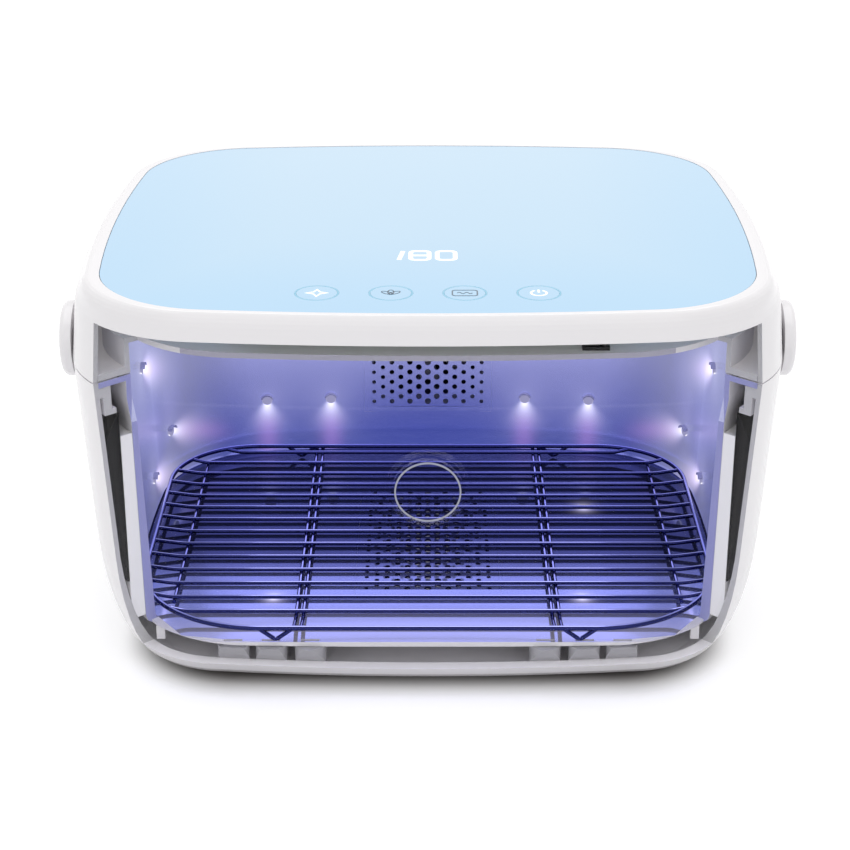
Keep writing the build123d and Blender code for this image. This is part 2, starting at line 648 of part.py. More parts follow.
def make_front_window():
    """Clear pane that follows the outer wall, with the hole for the release button."""
    pane = base_form(0, 0) - base_form(WALL, BOTTOM_WALL)
    pane &= window_prism(WINDOW_BOTTOM_HEIGHT, BASE_TOP + WINDOW_FIT_GAP, WINDOW_FIT_GAP)
    return pane - rod(BUTTON_RADIUS + BUTTON_GAP, (0, -FAR, BUTTON_HEIGHT), (0, BODY_Y, BUTTON_HEIGHT))


def make_side_rail():
    """Heat-sink rail in the right wall, behind the side lights."""
    height = RAIL_TOP_HEIGHT - RAIL_BOTTOM_HEIGHT
    rail = ring(body_wire(RAIL_INSET, RAIL_BOTTOM_HEIGHT),
                body_wire(RAIL_INSET + RAIL_THICKNESS, RAIL_BOTTOM_HEIGHT), height)
    rail &= base_form(WALL + ASSEMBLY_GAP, BOTTOM_WALL)
    rail -= chamber_outside(ASSEMBLY_GAP)
    rail &= box(HALF_WIDTH / 2, FAR, WINDOW_CORNER_Y + BODY_Y - RAIL_FRONT_ROOM, BODY_Y + RAIL_BACK_Y, 0, FAR)
    return rail - window_prism(0, FAR)


def make_wall_pad():
    """Foam pad between the skin and the rail, thin at both ends."""
    face = RAIL_INSET - ASSEMBLY_GAP
    pad = base_form(WALL + ASSEMBLY_GAP, BOTTOM_WALL) & Solid.make_loft([
        body_wire(face - PAD_EDGE, PAD_BOTTOM_HEIGHT),
        body_wire(-PAD_EDGE, PAD_BOTTOM_HEIGHT + PAD_TAPER_HEIGHT),
        body_wire(-PAD_EDGE, PAD_TOP_HEIGHT - PAD_TAPER_HEIGHT), body_wire(face - PAD_EDGE, PAD_TOP_HEIGHT),
    ], ruled=True)
    pad -= prism(body_wire(face, 0), FAR)
    pad &= box(HALF_WIDTH / 2, FAR, WINDOW_CORNER_Y + BODY_Y - RAIL_FRONT_ROOM, BODY_Y + RAIL_BACK_Y, 0, FAR)
    return pad - window_prism(0, FAR)


def make_floor_posts():
    """Round posts that carry the front of the chamber floor."""
    inside = base_form(WALL, BOTTOM_WALL)
    top = CHAMBER_FLOOR_HEIGHT - LINER_FLOOR_THICKNESS
    return [rod(POST_RADIUS, (side * x, POST_Y, BASE_BOTTOM), (side * x, POST_Y, top)) & inside
            for x in POST_X for side in (-1, 1)]


def make_wall_lights():
    """Light bodies with lenses, and the small hood over each."""
    lamps, hoods = [], []
    for origin, inward in led_frames():
        lamp_back, lamp_front = origin - inward * LED_DEPTH, origin + inward * LED_PROUD
        lamps.append(rod(LED_BODY_RADIUS, tuple(lamp_back), tuple(lamp_front)))
        across = inward.cross(Vector(0, 0, 1))
        frame = Plane(origin=origin + inward * HOOD_STAND_OFF, x_dir=across, z_dir=inward)
        tube = frame * extrude(Circle(HOOD_RADIUS) - Circle(HOOD_RADIUS - HOOD_WALL), HOOD_REACH)
        room = 2 * HOOD_RADIUS
        low = box(-room, room, -room, room, -room, HOOD_RADIUS * HOOD_OPEN_SHARE)
        hoods.append(tube - Pos(origin) * low)
    return lamps, hoods


def fan_rod(radius, front, back):
    """Cylinder on the fan axis between two depths."""
    return rod(radius, (0, front, BACK_GRILLE_HEIGHT), (0, back, BACK_GRILLE_HEIGHT))


def make_fan_frame():
    """Square fan housing with its bore, motor disc and four struts."""
    outline = RectangleRounded(FAN_SIZE, FAN_SIZE, FAN_CORNER)
    body = Pos(0, FAN_Y, BACK_GRILLE_HEIGHT) * Rot(X=90) * extrude(outline, FAN_THICKNESS / 2, both=True)
    body -= fan_rod(FAN_BORE_RADIUS, FAN_Y - FAN_THICKNESS, FAN_Y + FAN_THICKNESS)
    back = FAN_Y + FAN_THICKNESS / 2
    disc = fan_rod(FAN_HUB_RADIUS, back - 2, back)
    middle = Pos(0, back - 1, BACK_GRILLE_HEIGHT)
    strut = Pos(FAN_BORE_RADIUS / 2, 0, 0) * Box(FAN_BORE_RADIUS + 2, 2, 3)
    struts = [middle * Rot(Y=FAN_STRUT_ANGLE + 90 * i) * strut for i in range(4)]
    return fuse([body, disc] + struts)


def make_fan_impeller():
    """Hub with pitched blades and its shaft, turning about Y."""
    front = FAN_Y - FAN_THICKNESS / 2 + 1
    back = FAN_Y + FAN_THICKNESS / 2 - FAN_STRUT_ROOM
    hub = fan_rod(FAN_HUB_RADIUS, front, back)
    chord = (back - front - 1) / cos(radians(FAN_BLADE_PITCH)) * FAN_BLADE_SHARE
    length = FAN_BLADE_RADIUS - FAN_HUB_RADIUS + 3
    root = Pos(0, 0, FAN_HUB_RADIUS - 3 + length / 2)
    blade = root * Rot(Z=90 - FAN_BLADE_PITCH) * Box(chord, FAN_BLADE_THICKNESS, length)
    middle = Pos(0, (front + back) / 2, BACK_GRILLE_HEIGHT)
    blades = [middle * Rot(Y=360 / FAN_BLADES * index) * blade for index in range(FAN_BLADES)]
    return fuse([hub] + blades) & fan_rod(FAN_BLADE_RADIUS, front, back)


def make_heater():
    """Finned heater plate between the fan and the back grille."""
    y0 = FAN_Y - FAN_THICKNESS / 2 - HEATER_THICKNESS - ASSEMBLY_GAP
    half = FAN_SIZE / 2 - 2
    y1 = y0 + HEATER_THICKNESS
    middle = BACK_GRILLE_HEIGHT
    core = box(-half, half, y0, y1, middle - 3, middle + 3)
    rails = [box(-half, half, y0, y1, middle + s * (half - 2) - 2, middle + s * (half - 2) + 2)
             for s in (-1, 1)]
    pitch = (2 * half - 1) / (HEATER_FINS - 1)
    places = [(i - (HEATER_FINS - 1) / 2) * pitch for i in range(HEATER_FINS)]
    fins = [box(x - 0.5, x + 0.5, y0, y1, middle - half, middle + half) for x in places]
    return fuse([core] + rails + fins)


# ============================================================ wire rack
def rack_outline(height):
    """Plan of the rack rim: a rectangle with larger corners in front."""
    face = Rectangle(2 * RACK_HALF_WIDTH, RACK_BACK_Y - RACK_FRONT_Y)
    corners = face.vertices().sort_by(Axis.Y)
    face = fillet(corners[:2], RACK_FRONT_RADIUS)
    back = (RACK_BACK_Y - RACK_FRONT_Y) / 2 - 1
    face = fillet([v for v in face.vertices() if v.Y > back], RACK_BACK_RADIUS)
    return (Pos(0, (RACK_BACK_Y + RACK_FRONT_Y) / 2, height) * face).face().outer_wire()


def rim_half_width(y):
    """Half-width of the rim at a depth."""
    for into, radius in ((y - RACK_FRONT_Y, RACK_FRONT_RADIUS), (RACK_BACK_Y - y, RACK_BACK_RADIUS)):
        if into < radius:
            return RACK_HALF_WIDTH - radius + sqrt(radius ** 2 - (radius - into) ** 2)
    return RACK_HALF_WIDTH


def wire_run(radius, start, end):
    """Straight wire between two points, drawn with flat sides."""
    start, end = Vector(*start), Vector(*end)
    run = end - start
    section = Plane(origin=start, z_dir=run) * RegularPolygon(radius, RACK_WIRE_SIDES)
    return extrude(section, run.length, dir=run.normalized())


def bent_wire(radius, points):
    """Wire through straight runs that overlap a little at each bend."""
    runs = []
    for index, (start, end) in enumerate(zip(points, points[1:])):
        start, end = Vector(*start), Vector(*end)
        overlap = (end - start).normalized() * radius / 2
        if index > 0:
            start -= overlap
        if index < len(points) - 2:
            end += overlap
        runs.append(wire_run(radius, tuple(start), tuple(end)))
    return runs


def make_wire_rack():
    """Welded rack: rim, cross wires bent up to it, inner rails, bearers and V feet."""
    path = rack_outline(RACK_HEIGHT + RACK_RIM_RISE)
    start = path @ 0
    section = Plane(origin=start, z_dir=path % 0) * RegularPolygon(RACK_RIM_RADIUS, RACK_WIRE_SIDES)
    rim = sweep(section, path=path)
    pieces = [rim]
    rim_height = RACK_HEIGHT + RACK_RIM_RISE
    for index in range(RACK_WIRE_COUNT):
        y = RACK_FRONT_Y + RACK_FIRST_WIRE + index * RACK_WIRE_PITCH
        end = rim_half_width(y)
        bend = min(RACK_INNER_RAIL_X - RACK_BEND_INSET, end - RACK_BEND_MIN)
        pieces += bent_wire(RACK_WIRE_RADIUS, [(-end, y, rim_height), (-bend, y, RACK_HEIGHT),
                                               (bend, y, RACK_HEIGHT), (end, y, rim_height)])
    low = RACK_HEIGHT - RACK_WIRE_RADIUS * RACK_BEARER_DROP
    first = RACK_FRONT_Y + RACK_FIRST_WIRE
    last = first + (RACK_WIRE_COUNT - 1) * RACK_WIRE_PITCH
    for side in (-1, 1):
        rail_x = side * (RACK_INNER_RAIL_X - RACK_RAIL_INSET)
        pieces.append(wire_run(RACK_WIRE_RADIUS, (rail_x, first + RACK_RAIL_END, low),
                               (rail_x, last - RACK_RAIL_END, low)))
        for shift in (-1, 1):
            x = side * RACK_BEARER_X + shift * RACK_BEARER_GAP / 2
            pieces += bent_wire(RACK_WIRE_RADIUS, [
                (x, RACK_FRONT_Y, rim_height), (x, first - RACK_BEARER_END, low),
                (x, last + RACK_BEARER_END, low), (x, RACK_BACK_Y, rim_height)])
        foot = CHAMBER_FLOOR_HEIGHT + RACK_WIRE_RADIUS + RACK_FOOT_GAP
        for y in (RACK_FRONT_Y, RACK_BACK_Y):
            x = side * RACK_FOOT_X
            pieces += bent_wire(RACK_WIRE_RADIUS, [(x - RACK_FOOT_HALF_WIDTH, y, rim_height), (x, y, foot),
                                                   (x + RACK_FOOT_HALF_WIDTH, y, rim_height)])
    return fuse(pieces)


# ============================================================ lid
def make_lid_shell():
    """Outer lid moulding with the recess and shelf for the glass."""
    shell = lid_form(0, 0) - lid_form(WALL, PANEL_THICKNESS + PANEL_LEDGE_THICKNESS + LID_ROOF_STEP)
    seat = PANEL_TOP_HEIGHT - PANEL_THICKNESS - PANEL_GAP / 3
    shell -= prism(panel_wire(-PANEL_GAP, seat), FAR)
    shell -= prism(panel_wire(PANEL_LEDGE, LID_BOTTOM), FAR)
    shell -= window_prism(LID_BOTTOM - 1, WINDOW_TOP_HEIGHT)
    return shell


def make_lid_window():
    """Clear strip that closes the front of the lid."""
    pane = lid_form(0, 0) - lid_form(WALL, PANEL_THICKNESS + PANEL_LEDGE_THICKNESS + LID_ROOF_STEP)
    return pane & window_prism(LID_BOTTOM - WINDOW_FIT_GAP, WINDOW_TOP_HEIGHT, WINDOW_FIT_GAP)


def make_top_panel():
    panel = prism(panel_wire(0, PANEL_TOP_HEIGHT - PANEL_THICKNESS), PANEL_THICKNESS)
    groove = extrude(key_ring_face(KEY_RING_SEAT), KEY_RING_DEPTH + 1)
    for x in key_centres():
        panel -= Pos(x, KEY_Y, PANEL_TOP_HEIGHT - KEY_RING_DEPTH) * groove
    return panel


def key_centres():
    return [(i - (KEY_COUNT - 1) / 2) * KEY_PITCH for i in range(KEY_COUNT)]


def key_ring_face(grow=0.0):
    return Circle(KEY_RING_RADIUS + grow) - Circle(KEY_RING_RADIUS - KEY_RING_WIDTH - grow)


def make_key_rings():
    ring_solid = extrude(key_ring_face(), KEY_RING_DEPTH - KEY_RING_LIFT)
    bottom = PANEL_TOP_HEIGHT - KEY_RING_DEPTH + KEY_RING_LIFT
    return [Pos(x, KEY_Y, bottom) * ring_solid for x in key_centres()]


def make_lid_liner():
    """Inner lid moulding: flange over the base rim, short wall and chamber ceiling."""
    flange_inset = WALL + ASSEMBLY_GAP + LID_FLANGE_THICKNESS * LID_DRAFT
    flange = ring(body_wire(flange_inset, LID_BOTTOM), chamber_wire(0, LID_BOTTOM), LID_FLANGE_THICKNESS)
    wall_height = CHAMBER_CEILING_HEIGHT + CEILING_THICKNESS - LID_BOTTOM
    wall = ring(chamber_wire(-LID_WALL, LID_BOTTOM), chamber_wire(0, LID_BOTTOM), wall_height)
    ceiling = prism(chamber_wire(-LID_WALL / 2, CHAMBER_CEILING_HEIGHT), CEILING_THICKNESS)
    liner = fuse([flange, wall, ceiling])
    kept = prism(chamber_wire(CEILING_FRONT_INSET, CHAMBER_CEILING_HEIGHT), CEILING_THICKNESS)
    liner -= window_prism(LID_BOTTOM - 1, WINDOW_TOP_HEIGHT) - kept
    for x, y in ceiling_lights():
        liner -= rod(LED_BODY_RADIUS + ASSEMBLY_GAP, (x, y, CHAMBER_CEILING_HEIGHT - 1), (x, y, FAR))
    return liner


def ceiling_lights():
    return [(sx * CEILING_LED_X, CHAMBER_Y + sy * CEILING_LED_Y) for sx in (-1, 1) for sy in (-1, 1)]


def make_lid_seal():
    """Soft seal in the parting gap, outside the chamber mouth; open at the window."""
    low = BASE_TOP + SEAL_LIFT
    seal = ring(chamber_wire(-SEAL_INSET - SEAL_WIDTH, low), chamber_wire(-SEAL_INSET, low), SEAL_HEIGHT)
    return seal - window_prism(0, FAR)


def make_side_cap():
    """Round trim cap on the right side of the lid, over the parting line."""
    inner = HALF_WIDTH - (SIDE_CAP_Y - BODY_Y) ** 2 / (2 * SIDE_BOW_RADIUS)
    face = inner + SIDE_CAP_REACH
    cap = rod(SIDE_CAP_RADIUS, (inner + SIDE_CAP_GAP, SIDE_CAP_Y, PARTING_HEIGHT),
              (face, SIDE_CAP_Y, PARTING_HEIGHT))
    cap = cap.fillet(SIDE_CAP_EDGE, cap.edges().group_by(Axis.X)[-1])
    boss_height = PARTING_HEIGHT + SIDE_CAP_BOSS_RISE
    boss = rod(SIDE_CAP_BOSS_RADIUS, (inner - SIDE_CAP_BOSS_DEPTH, SIDE_CAP_Y, boss_height),
               (inner + 2, SIDE_CAP_Y, boss_height))
    return fuse([cap, boss]) - lid_form(0, 0) - base_form(-SIDE_CAP_GAP, 0)


# ============================================================ catch
def button_rod(radius, front, back):
    """Cylinder on the button axis between two depths."""
    return rod(radius, (0, front, BUTTON_HEIGHT), (0, back, BUTTON_HEIGHT))


def make_release_button():
    """Round push button that follows the wall, with the stem and hook of the catch."""
    outside = base_form(-BUTTON_PROUD, 0)
    disc = button_rod(BUTTON_RADIUS, BODY_Y - HALF_DEPTH - WALL, LIP_Y) & outside
    disc -= button_line(BUTTON_LINE_GAP)
    lip = button_rod(BUTTON_RADIUS + BUTTON_LIP, LIP_Y, LIP_Y + BUTTON_LIP_THICKNESS)
    stem_front = LIP_Y + BUTTON_LIP_THICKNESS / 2
    half, stem_back = STEM_WIDTH / 2, stem_front + STEM_THICKNESS
    stem = box(-half, half, stem_front, stem_back, BUTTON_HEIGHT + BUTTON_RADIUS / 2, HOOK_TOP)
    hook = box(-half, half, stem_front - HOOK_REACH, stem_back, HOOK_TOP - HOOK_HEIGHT, HOOK_TOP)
    return fuse([disc, lip, stem, hook])


def button_line(gap=0.0):
    """Thin ring let into the face of the button, grown by a gap."""
    middle = BUTTON_RADIUS - BUTTON_LINE_INSET
    half = BUTTON_LINE_WIDTH / 2 + gap
    outer = BODY_Y - HALF_DEPTH - WALL
    tube = button_rod(middle + half, outer, LIP_Y) - button_rod(middle - half, outer - 1, LIP_Y + 1)
    return (tube & base_form(-BUTTON_PROUD, 0)) - base_form(BUTTON_LINE_DEPTH - BUTTON_PROUD + gap, 0)


def make_button_carrier():
    """Cup behind the button that guides it and takes the spring."""
    outer_radius = BUTTON_RADIUS + BUTTON_LIP + BUTTON_GAP + CARRIER_WALL
    back = LIP_Y + CARRIER_DEPTH
    cup = button_rod(outer_radius, BODY_Y - HALF_DEPTH, back)
    cup -= button_rod(outer_radius - CARRIER_WALL, BODY_Y - HALF_DEPTH - 1, back - CARRIER_WALL)
    cup -= button_rod(SPRING_RADIUS / 2, LIP_Y, back + 1)
    slot = STEM_WIDTH / 2 + BUTTON_GAP
    cup -= box(-slot, slot, -FAR, FAR, BUTTON_HEIGHT, FAR)
    return cup & base_form(WALL + SKIN_CONTACT_GAP, BOTTOM_WALL)


def make_button_spring():
    """Coil spring behind the button, with the travel left free at its end."""
    start = LIP_Y + BUTTON_LIP_THICKNESS + SPRING_WIRE + SKIN_CONTACT_GAP
    end = LIP_Y + CARRIER_DEPTH - CARRIER_WALL - SPRING_WIRE - BUTTON_TRAVEL - CATCH_GAP
    length = end - start
    helix = Edge.make_helix(length / SPRING_TURNS, length, SPRING_RADIUS)
    profile = Plane(origin=helix @ 0, z_dir=helix % 0) * RegularPolygon(SPRING_WIRE, SPRING_WIRE_SIDES)
    return Pos(0, start, BUTTON_HEIGHT) * Rot(X=-90) * sweep(profile, path=helix, is_frenet=True)


def make_striker():
    """Tab on the lid that drops in front of the hook, with a lip at its foot."""
    half = STEM_WIDTH / 2 + STRIKER_SIDE
    back = LIP_Y + BUTTON_LIP_THICKNESS / 2 - HOOK_REACH - CATCH_GAP
    front = back - STRIKER_LIP - STRIKER_THICKNESS
    bottom = HOOK_TOP - HOOK_HEIGHT - CATCH_GAP - STRIKER_LIP_HEIGHT
    tab = box(-half, half, front, front + STRIKER_THICKNESS, bottom, LID_BOTTOM + STRIKER_ROOT)
    lip = box(-half, half, front, back, bottom, bottom + STRIKER_LIP_HEIGHT)
    root = box(-half, half, BODY_Y - HALF_DEPTH, front + STRIKER_THICKNESS,
               LID_BOTTOM + STRIKER_LIP_HEIGHT, LID_BOTTOM + STRIKER_ROOT)
    root &= lid_form(WALL + SKIN_CONTACT_GAP, WALL)
    return fuse([tab, lip, root])


# ============================================================ hinge
def hinge_centres():
    return [-HINGE_SPACING / 2, HINGE_SPACING / 2]


def hinge_leaf(x0, x1, up, hole):
    """Knuckle and wall plate of a hinge between two x positions."""
    barrel = rod(HINGE_BARREL_RADIUS, (x0, HINGE_Y, PARTING_HEIGHT), (x1, HINGE_Y, PARTING_HEIGHT))
    plate_back = BODY_Y + HALF_DEPTH + HINGE_LEAF_THICKNESS
    turn = 1 if up else -1
    near, far = PARTING_HEIGHT + turn * PARTING_GAP, PARTING_HEIGHT + turn * HINGE_LEAF_REACH
    plate = box(x0, x1, BODY_Y + HALF_DEPTH - HINGE_PLATE_ROOT, plate_back, min(near, far), max(near, far))
    shoulder_end = near + turn * HINGE_SHOULDER
    shoulder = box(x0, x1, plate_back - 0.5, HINGE_Y, min(near, shoulder_end), max(near, shoulder_end))
    skin = lid_form(-HINGE_SKIN_GAP, 0) if up else base_form(-HINGE_SKIN_GAP, 0)
    bore = rod(hole, (x0 - 1, HINGE_Y, PARTING_HEIGHT), (x1 + 1, HINGE_Y, PARTING_HEIGHT))
    return fuse([barrel, plate, shoulder]) - skin - bore


def make_hinges():
    base_leaves, lid_leaves, pins = [], [], []
    half, inner = HINGE_LENGTH / 2, HINGE_KNUCKLE / 2
    for x in hinge_centres():
        base_leaves.append(hinge_leaf(x - half, x - inner - HINGE_SIDE_GAP, False, HINGE_PIN_RADIUS))
        base_leaves.append(hinge_leaf(x + inner + HINGE_SIDE_GAP, x + half, False, HINGE_PIN_RADIUS))
        lid_leaves.append(hinge_leaf(x - inner, x + inner, True, HINGE_PIN_RADIUS + RUNNING_CLEARANCE))
        left, right = (x - half, HINGE_Y, PARTING_HEIGHT), (x + half, HINGE_Y, PARTING_HEIGHT)
        pins.append(rod(HINGE_PIN_RADIUS, left, right))
    return base_leaves, lid_leaves, pins


# ============================================================ small internals
def make_control_board():
    top = PANEL_TOP_HEIGHT - PANEL_THICKNESS - CONTROL_BOARD_DROP
    return box(-CONTROL_BOARD_HALF_WIDTH, CONTROL_BOARD_HALF_WIDTH, CONTROL_BOARD_Y - CONTROL_BOARD_DEPTH / 2,
               CONTROL_BOARD_Y + CONTROL_BOARD_DEPTH / 2, top - BOARD_THICKNESS, top)


def make_key_pads():
    """Spring electrodes that carry the touch field up to the glass."""
    top = PANEL_TOP_HEIGHT - PANEL_THICKNESS
    return [rod(KEY_PAD_RADIUS, (x, KEY_Y, top - CONTROL_BOARD_DROP), (x, KEY_Y, top)) for x in key_centres()]


def make_display():
    top = PANEL_TOP_HEIGHT - PANEL_THICKNESS
    return box(-DISPLAY_WIDTH / 2, DISPLAY_WIDTH / 2,
               DISPLAY_Y - DISPLAY_DEPTH / 2, DISPLAY_Y + DISPLAY_DEPTH / 2,
               top - CONTROL_BOARD_DROP, top)


def make_ceiling_lights():
    top = CHAMBER_CEILING_HEIGHT + CEILING_THICKNESS
    bottom = CHAMBER_CEILING_HEIGHT - LED_PROUD
    lamps = [rod(LED_BODY_RADIUS, (x, y, bottom), (x, y, top)) for x, y in ceiling_lights()]
    half, end = CEILING_BOARD_HALF_WIDTH, CEILING_LED_Y + CEILING_BOARD_END
    boards = [box(sx * CEILING_LED_X - half, sx * CEILING_LED_X + half, CHAMBER_Y - end, CHAMBER_Y + end,
                  top, top + BOARD_THICKNESS) for sx in (-1, 1)]
    return lamps, boards


def make_lid_sensor():
    """Closed-lid sensor on the front of the ceiling plate."""
    top = CHAMBER_CEILING_HEIGHT + CEILING_THICKNESS
    left, right = SENSOR_X - SENSOR_WIDTH / 2, SENSOR_X + SENSOR_WIDTH / 2
    half, head_half = SENSOR_BRACKET_DEPTH / 2, SENSOR_HEAD_DEPTH / 2
    head_top = top + SENSOR_HEAD_TOP
    bracket = box(left, right, SENSOR_Y - half, SENSOR_Y + half, top, top + SENSOR_BRACKET_THICKNESS)
    head = box(left, SENSOR_X + SENSOR_HEAD_SIDE, SENSOR_Y - head_half, SENSOR_Y + head_half,
               top + SENSOR_BRACKET_THICKNESS - SENSOR_SINK, head_top)
    boss_x = right - SENSOR_BOSS_INSET
    boss = rod(SENSOR_BOSS_RADIUS, (boss_x, SENSOR_Y, top), (boss_x, SENSOR_Y, head_top))
    return fuse([bracket, head, boss])


def make_power_board():
    """Power board with its coil and capacitors, and the posts it stands on."""
    half_width, half_depth = MAIN_BOARD_WIDTH / 2, MAIN_BOARD_DEPTH / 2
    top = MAIN_BOARD_HEIGHT + BOARD_THICKNESS
    part_top = top + BOARD_PART_HEIGHT
    board = box(-half_width, half_width, MAIN_BOARD_Y - half_depth, MAIN_BOARD_Y + half_depth,
                MAIN_BOARD_HEIGHT, top)
    coil = box(COIL_X - COIL_SIZE / 2, COIL_X + COIL_SIZE / 2, MAIN_BOARD_Y - COIL_SIZE / 2,
               MAIN_BOARD_Y + COIL_SIZE / 2, top, part_top)
    cans = [rod(CAPACITOR_RADIUS, (x, CAPACITOR_Y, top), (x, CAPACITOR_Y, part_top)) for x in CAPACITOR_X]
    reach_x, reach_y = half_width - BOARD_POST_INSET, half_depth - BOARD_POST_INSET
    places = [(sx * reach_x, MAIN_BOARD_Y + sy * reach_y) for sx in (-1, 1) for sy in (-1, 1)]
    posts = [rod(BOARD_POST_RADIUS, (x, y, BASE_BOTTOM + BOTTOM_WALL), (x, y, MAIN_BOARD_HEIGHT))
             for x, y in places]
    return board, coil, cans, posts


def make_power_jack():
    """Low-voltage inlet with a small flange on the back wall."""
    sag = JACK_X ** 2 / (2 * FRONT_BOW_RADIUS)
    skin = wall_back(JACK_HEIGHT) - sag

    def at(y):
        return (JACK_X, y, JACK_HEIGHT)

    body = rod(JACK_RADIUS, at(skin - JACK_LENGTH), at(skin + JACK_PROUD))
    body -= rod(JACK_BORE, at(skin - JACK_LENGTH + JACK_FLANGE), at(skin + FOOT_HEIGHT))
    pin = rod(JACK_PIN_RADIUS, at(skin - JACK_LENGTH + JACK_FLANGE / 2), at(skin - JACK_FLANGE))
    return fuse([body, pin])


def make_air_filter():
    """Filter block in the duct below the floor grille."""
    width, depth = grille_size(FLOOR_GRILLE_ROWS)
    low = BASE_BOTTOM + BOTTOM_WALL
    high = CHAMBER_FLOOR_HEIGHT - LINER_FLOOR_THICKNESS - ASSEMBLY_GAP
    return Pos(0, FLOOR_GRILLE_Y, (low + high) / 2) * Box(width, depth, high - low)


def make_feet():
    places = [(sx * FOOT_X, BODY_Y + sy * FOOT_Y) for sx in (-1, 1) for sy in (-1, 1)]
    return [rod(FOOT_RADIUS, (x, y, 0), (x, y, FOOT_HEIGHT)) for x, y in places]


def export(name, shapes):
    """Write one node; several solids go in as a compound."""
    shapes = shapes if isinstance(shapes, list) else [shapes]
    solids = [solid for shape in shapes for solid in shape.solids()]
    export_step(solids[0] if len(solids) == 1 else Compound(children=solids), f"parts/{name}.step")


def build():
    os.makedirs("parts", exist_ok=True)
    export("base_shell", make_base_shell())
    export("chamber_liner", make_chamber_liner())
    export("front_window", make_front_window())
    export("back_grille", make_back_grille())
    export("floor_grille", make_floor_grille())
    rail, pad = make_side_rail(), make_wall_pad()
    export("side_rail_right", rail)
    export("side_rail_left", mirror_x(rail))
    export("wall_pad_right", pad)
    export("wall_pad_left", mirror_x(pad))
    export("floor_posts", make_floor_posts())
    lamps, hoods = make_wall_lights()
    export("wall_lamps", lamps)
    export("lamp_hoods", hoods)
    export("fan_frame", make_fan_frame())
    export("fan_impeller", make_fan_impeller())
    export("heater", make_heater())
    export("air_filter", make_air_filter())
    board, coil, cans, posts = make_power_board()
    export("power_board", board)
    export("power_coil", coil)
    export("power_capacitors", cans)
    export("board_posts", posts)
    export("power_jack", make_power_jack())
    export("rubber_feet", make_feet())
    export("wire_rack", make_wire_rack())
    export("lid_shell", make_lid_shell())
    export("lid_window", make_lid_window())
    export("top_panel", make_top_panel())
    export("key_rings", make_key_rings())
    export("key_pads", make_key_pads())
    export("display_module", make_display())
    export("control_board", make_control_board())
    export("lid_liner", make_lid_liner())
    export("lid_seal", make_lid_seal())
    lamps, boards = make_ceiling_lights()
    export("ceiling_lamps", lamps)
    export("ceiling_boards", boards)
    export("lid_sensor", make_lid_sensor())
    cap = make_side_cap()
    export("side_caps", [cap, mirror_x(cap)])
    export("release_button", make_release_button())
    export("button_line", button_line())
    export("button_carrier", make_button_carrier())
    export("button_spring", make_button_spring())
    export("striker", make_striker())
    base_leaves, lid_leaves, pins = make_hinges()
    export("hinge_base_leaves", base_leaves)
    export("hinge_lid_leaves", lid_leaves)
    export("hinge_pins", pins)


build()
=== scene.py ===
import math

import bmesh
import bpy
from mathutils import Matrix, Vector
from mathutils.bvhtree import BVHTree


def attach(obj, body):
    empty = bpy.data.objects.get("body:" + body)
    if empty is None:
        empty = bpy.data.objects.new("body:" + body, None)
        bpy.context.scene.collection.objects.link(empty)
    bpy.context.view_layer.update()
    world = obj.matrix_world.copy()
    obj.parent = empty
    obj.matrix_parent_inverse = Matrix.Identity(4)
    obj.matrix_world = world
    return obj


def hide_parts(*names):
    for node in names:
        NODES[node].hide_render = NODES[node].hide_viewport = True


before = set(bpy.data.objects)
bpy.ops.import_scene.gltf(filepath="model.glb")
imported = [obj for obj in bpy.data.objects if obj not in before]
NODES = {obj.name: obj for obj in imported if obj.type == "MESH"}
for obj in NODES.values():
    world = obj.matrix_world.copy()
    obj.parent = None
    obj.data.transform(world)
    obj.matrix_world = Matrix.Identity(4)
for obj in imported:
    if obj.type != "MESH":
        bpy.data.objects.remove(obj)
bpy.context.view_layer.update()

MM = 0.001

# ------------------------------------------------------------ sizes shared by the dressed pieces (mm)
BODY_Y = -4.25
CHAMBER_Y = BODY_Y - 10.0
MOUTH_HALF_WIDTH = 149.1
MOUTH_HALF_DEPTH = 116.5
CHAMBER_CORNER = 66.0
FRONT_BOW = 1000.0
SIDE_BOW = 850.0
CEILING_HEIGHT = 162.0
BUTTON_HEIGHT = 108.0
BUTTON_RADIUS = 15.2
FLANGE_RADIUS = 16.8
COLLAR_BORE = 17.2
COLLAR_RADIUS = 18.4
FRONT_FACE = -143.8         # y of the button's face
FLANGE_FRONT = FRONT_FACE + 2.6
FLANGE_BACK = FRONT_FACE + 4.0
COLLAR_BACK = FRONT_FACE + 6.0
FRONT_LEAN = 0.0794         # lean of the front wall, back per unit of height
FLOOR_HEIGHT = 22.0
PANEL_TOP = 188.0
CUT_CORNER = (144.5, BODY_Y - 110.5)
CUT_SLOPE = 0.9
CUT_BOTTOM = 11.1
CUT_TOP = 175.6
CUT_NEAR = 0.08             # a face this near to the slanted plane is cut
CUT_LEVEL_NEAR = 0.05       # the same for the two level cuts
CUT_BEHIND = 0.1            # how far behind the plane a level cut may reach
CHAMBER_NEAR = 0.1
WALL_STEP = 1.9
WALL_DRAFT = 0.034
WALL_STEP_HEIGHT = 124.0

HOLE_SPACING = 5.75
HOLE_MIDDLE = 1.75
HOLE_EDGE = 1.1
GRILLE_COLUMNS = 13
GRILLE_MARGIN = 3.0
BACK_ROWS = 21
FLOOR_ROWS = 35
GRILLE_DEPTH = 1.2
BACK_GRILLE_HEIGHT = 79.0
FLOOR_GRILLE_Y = BODY_Y - 17.5

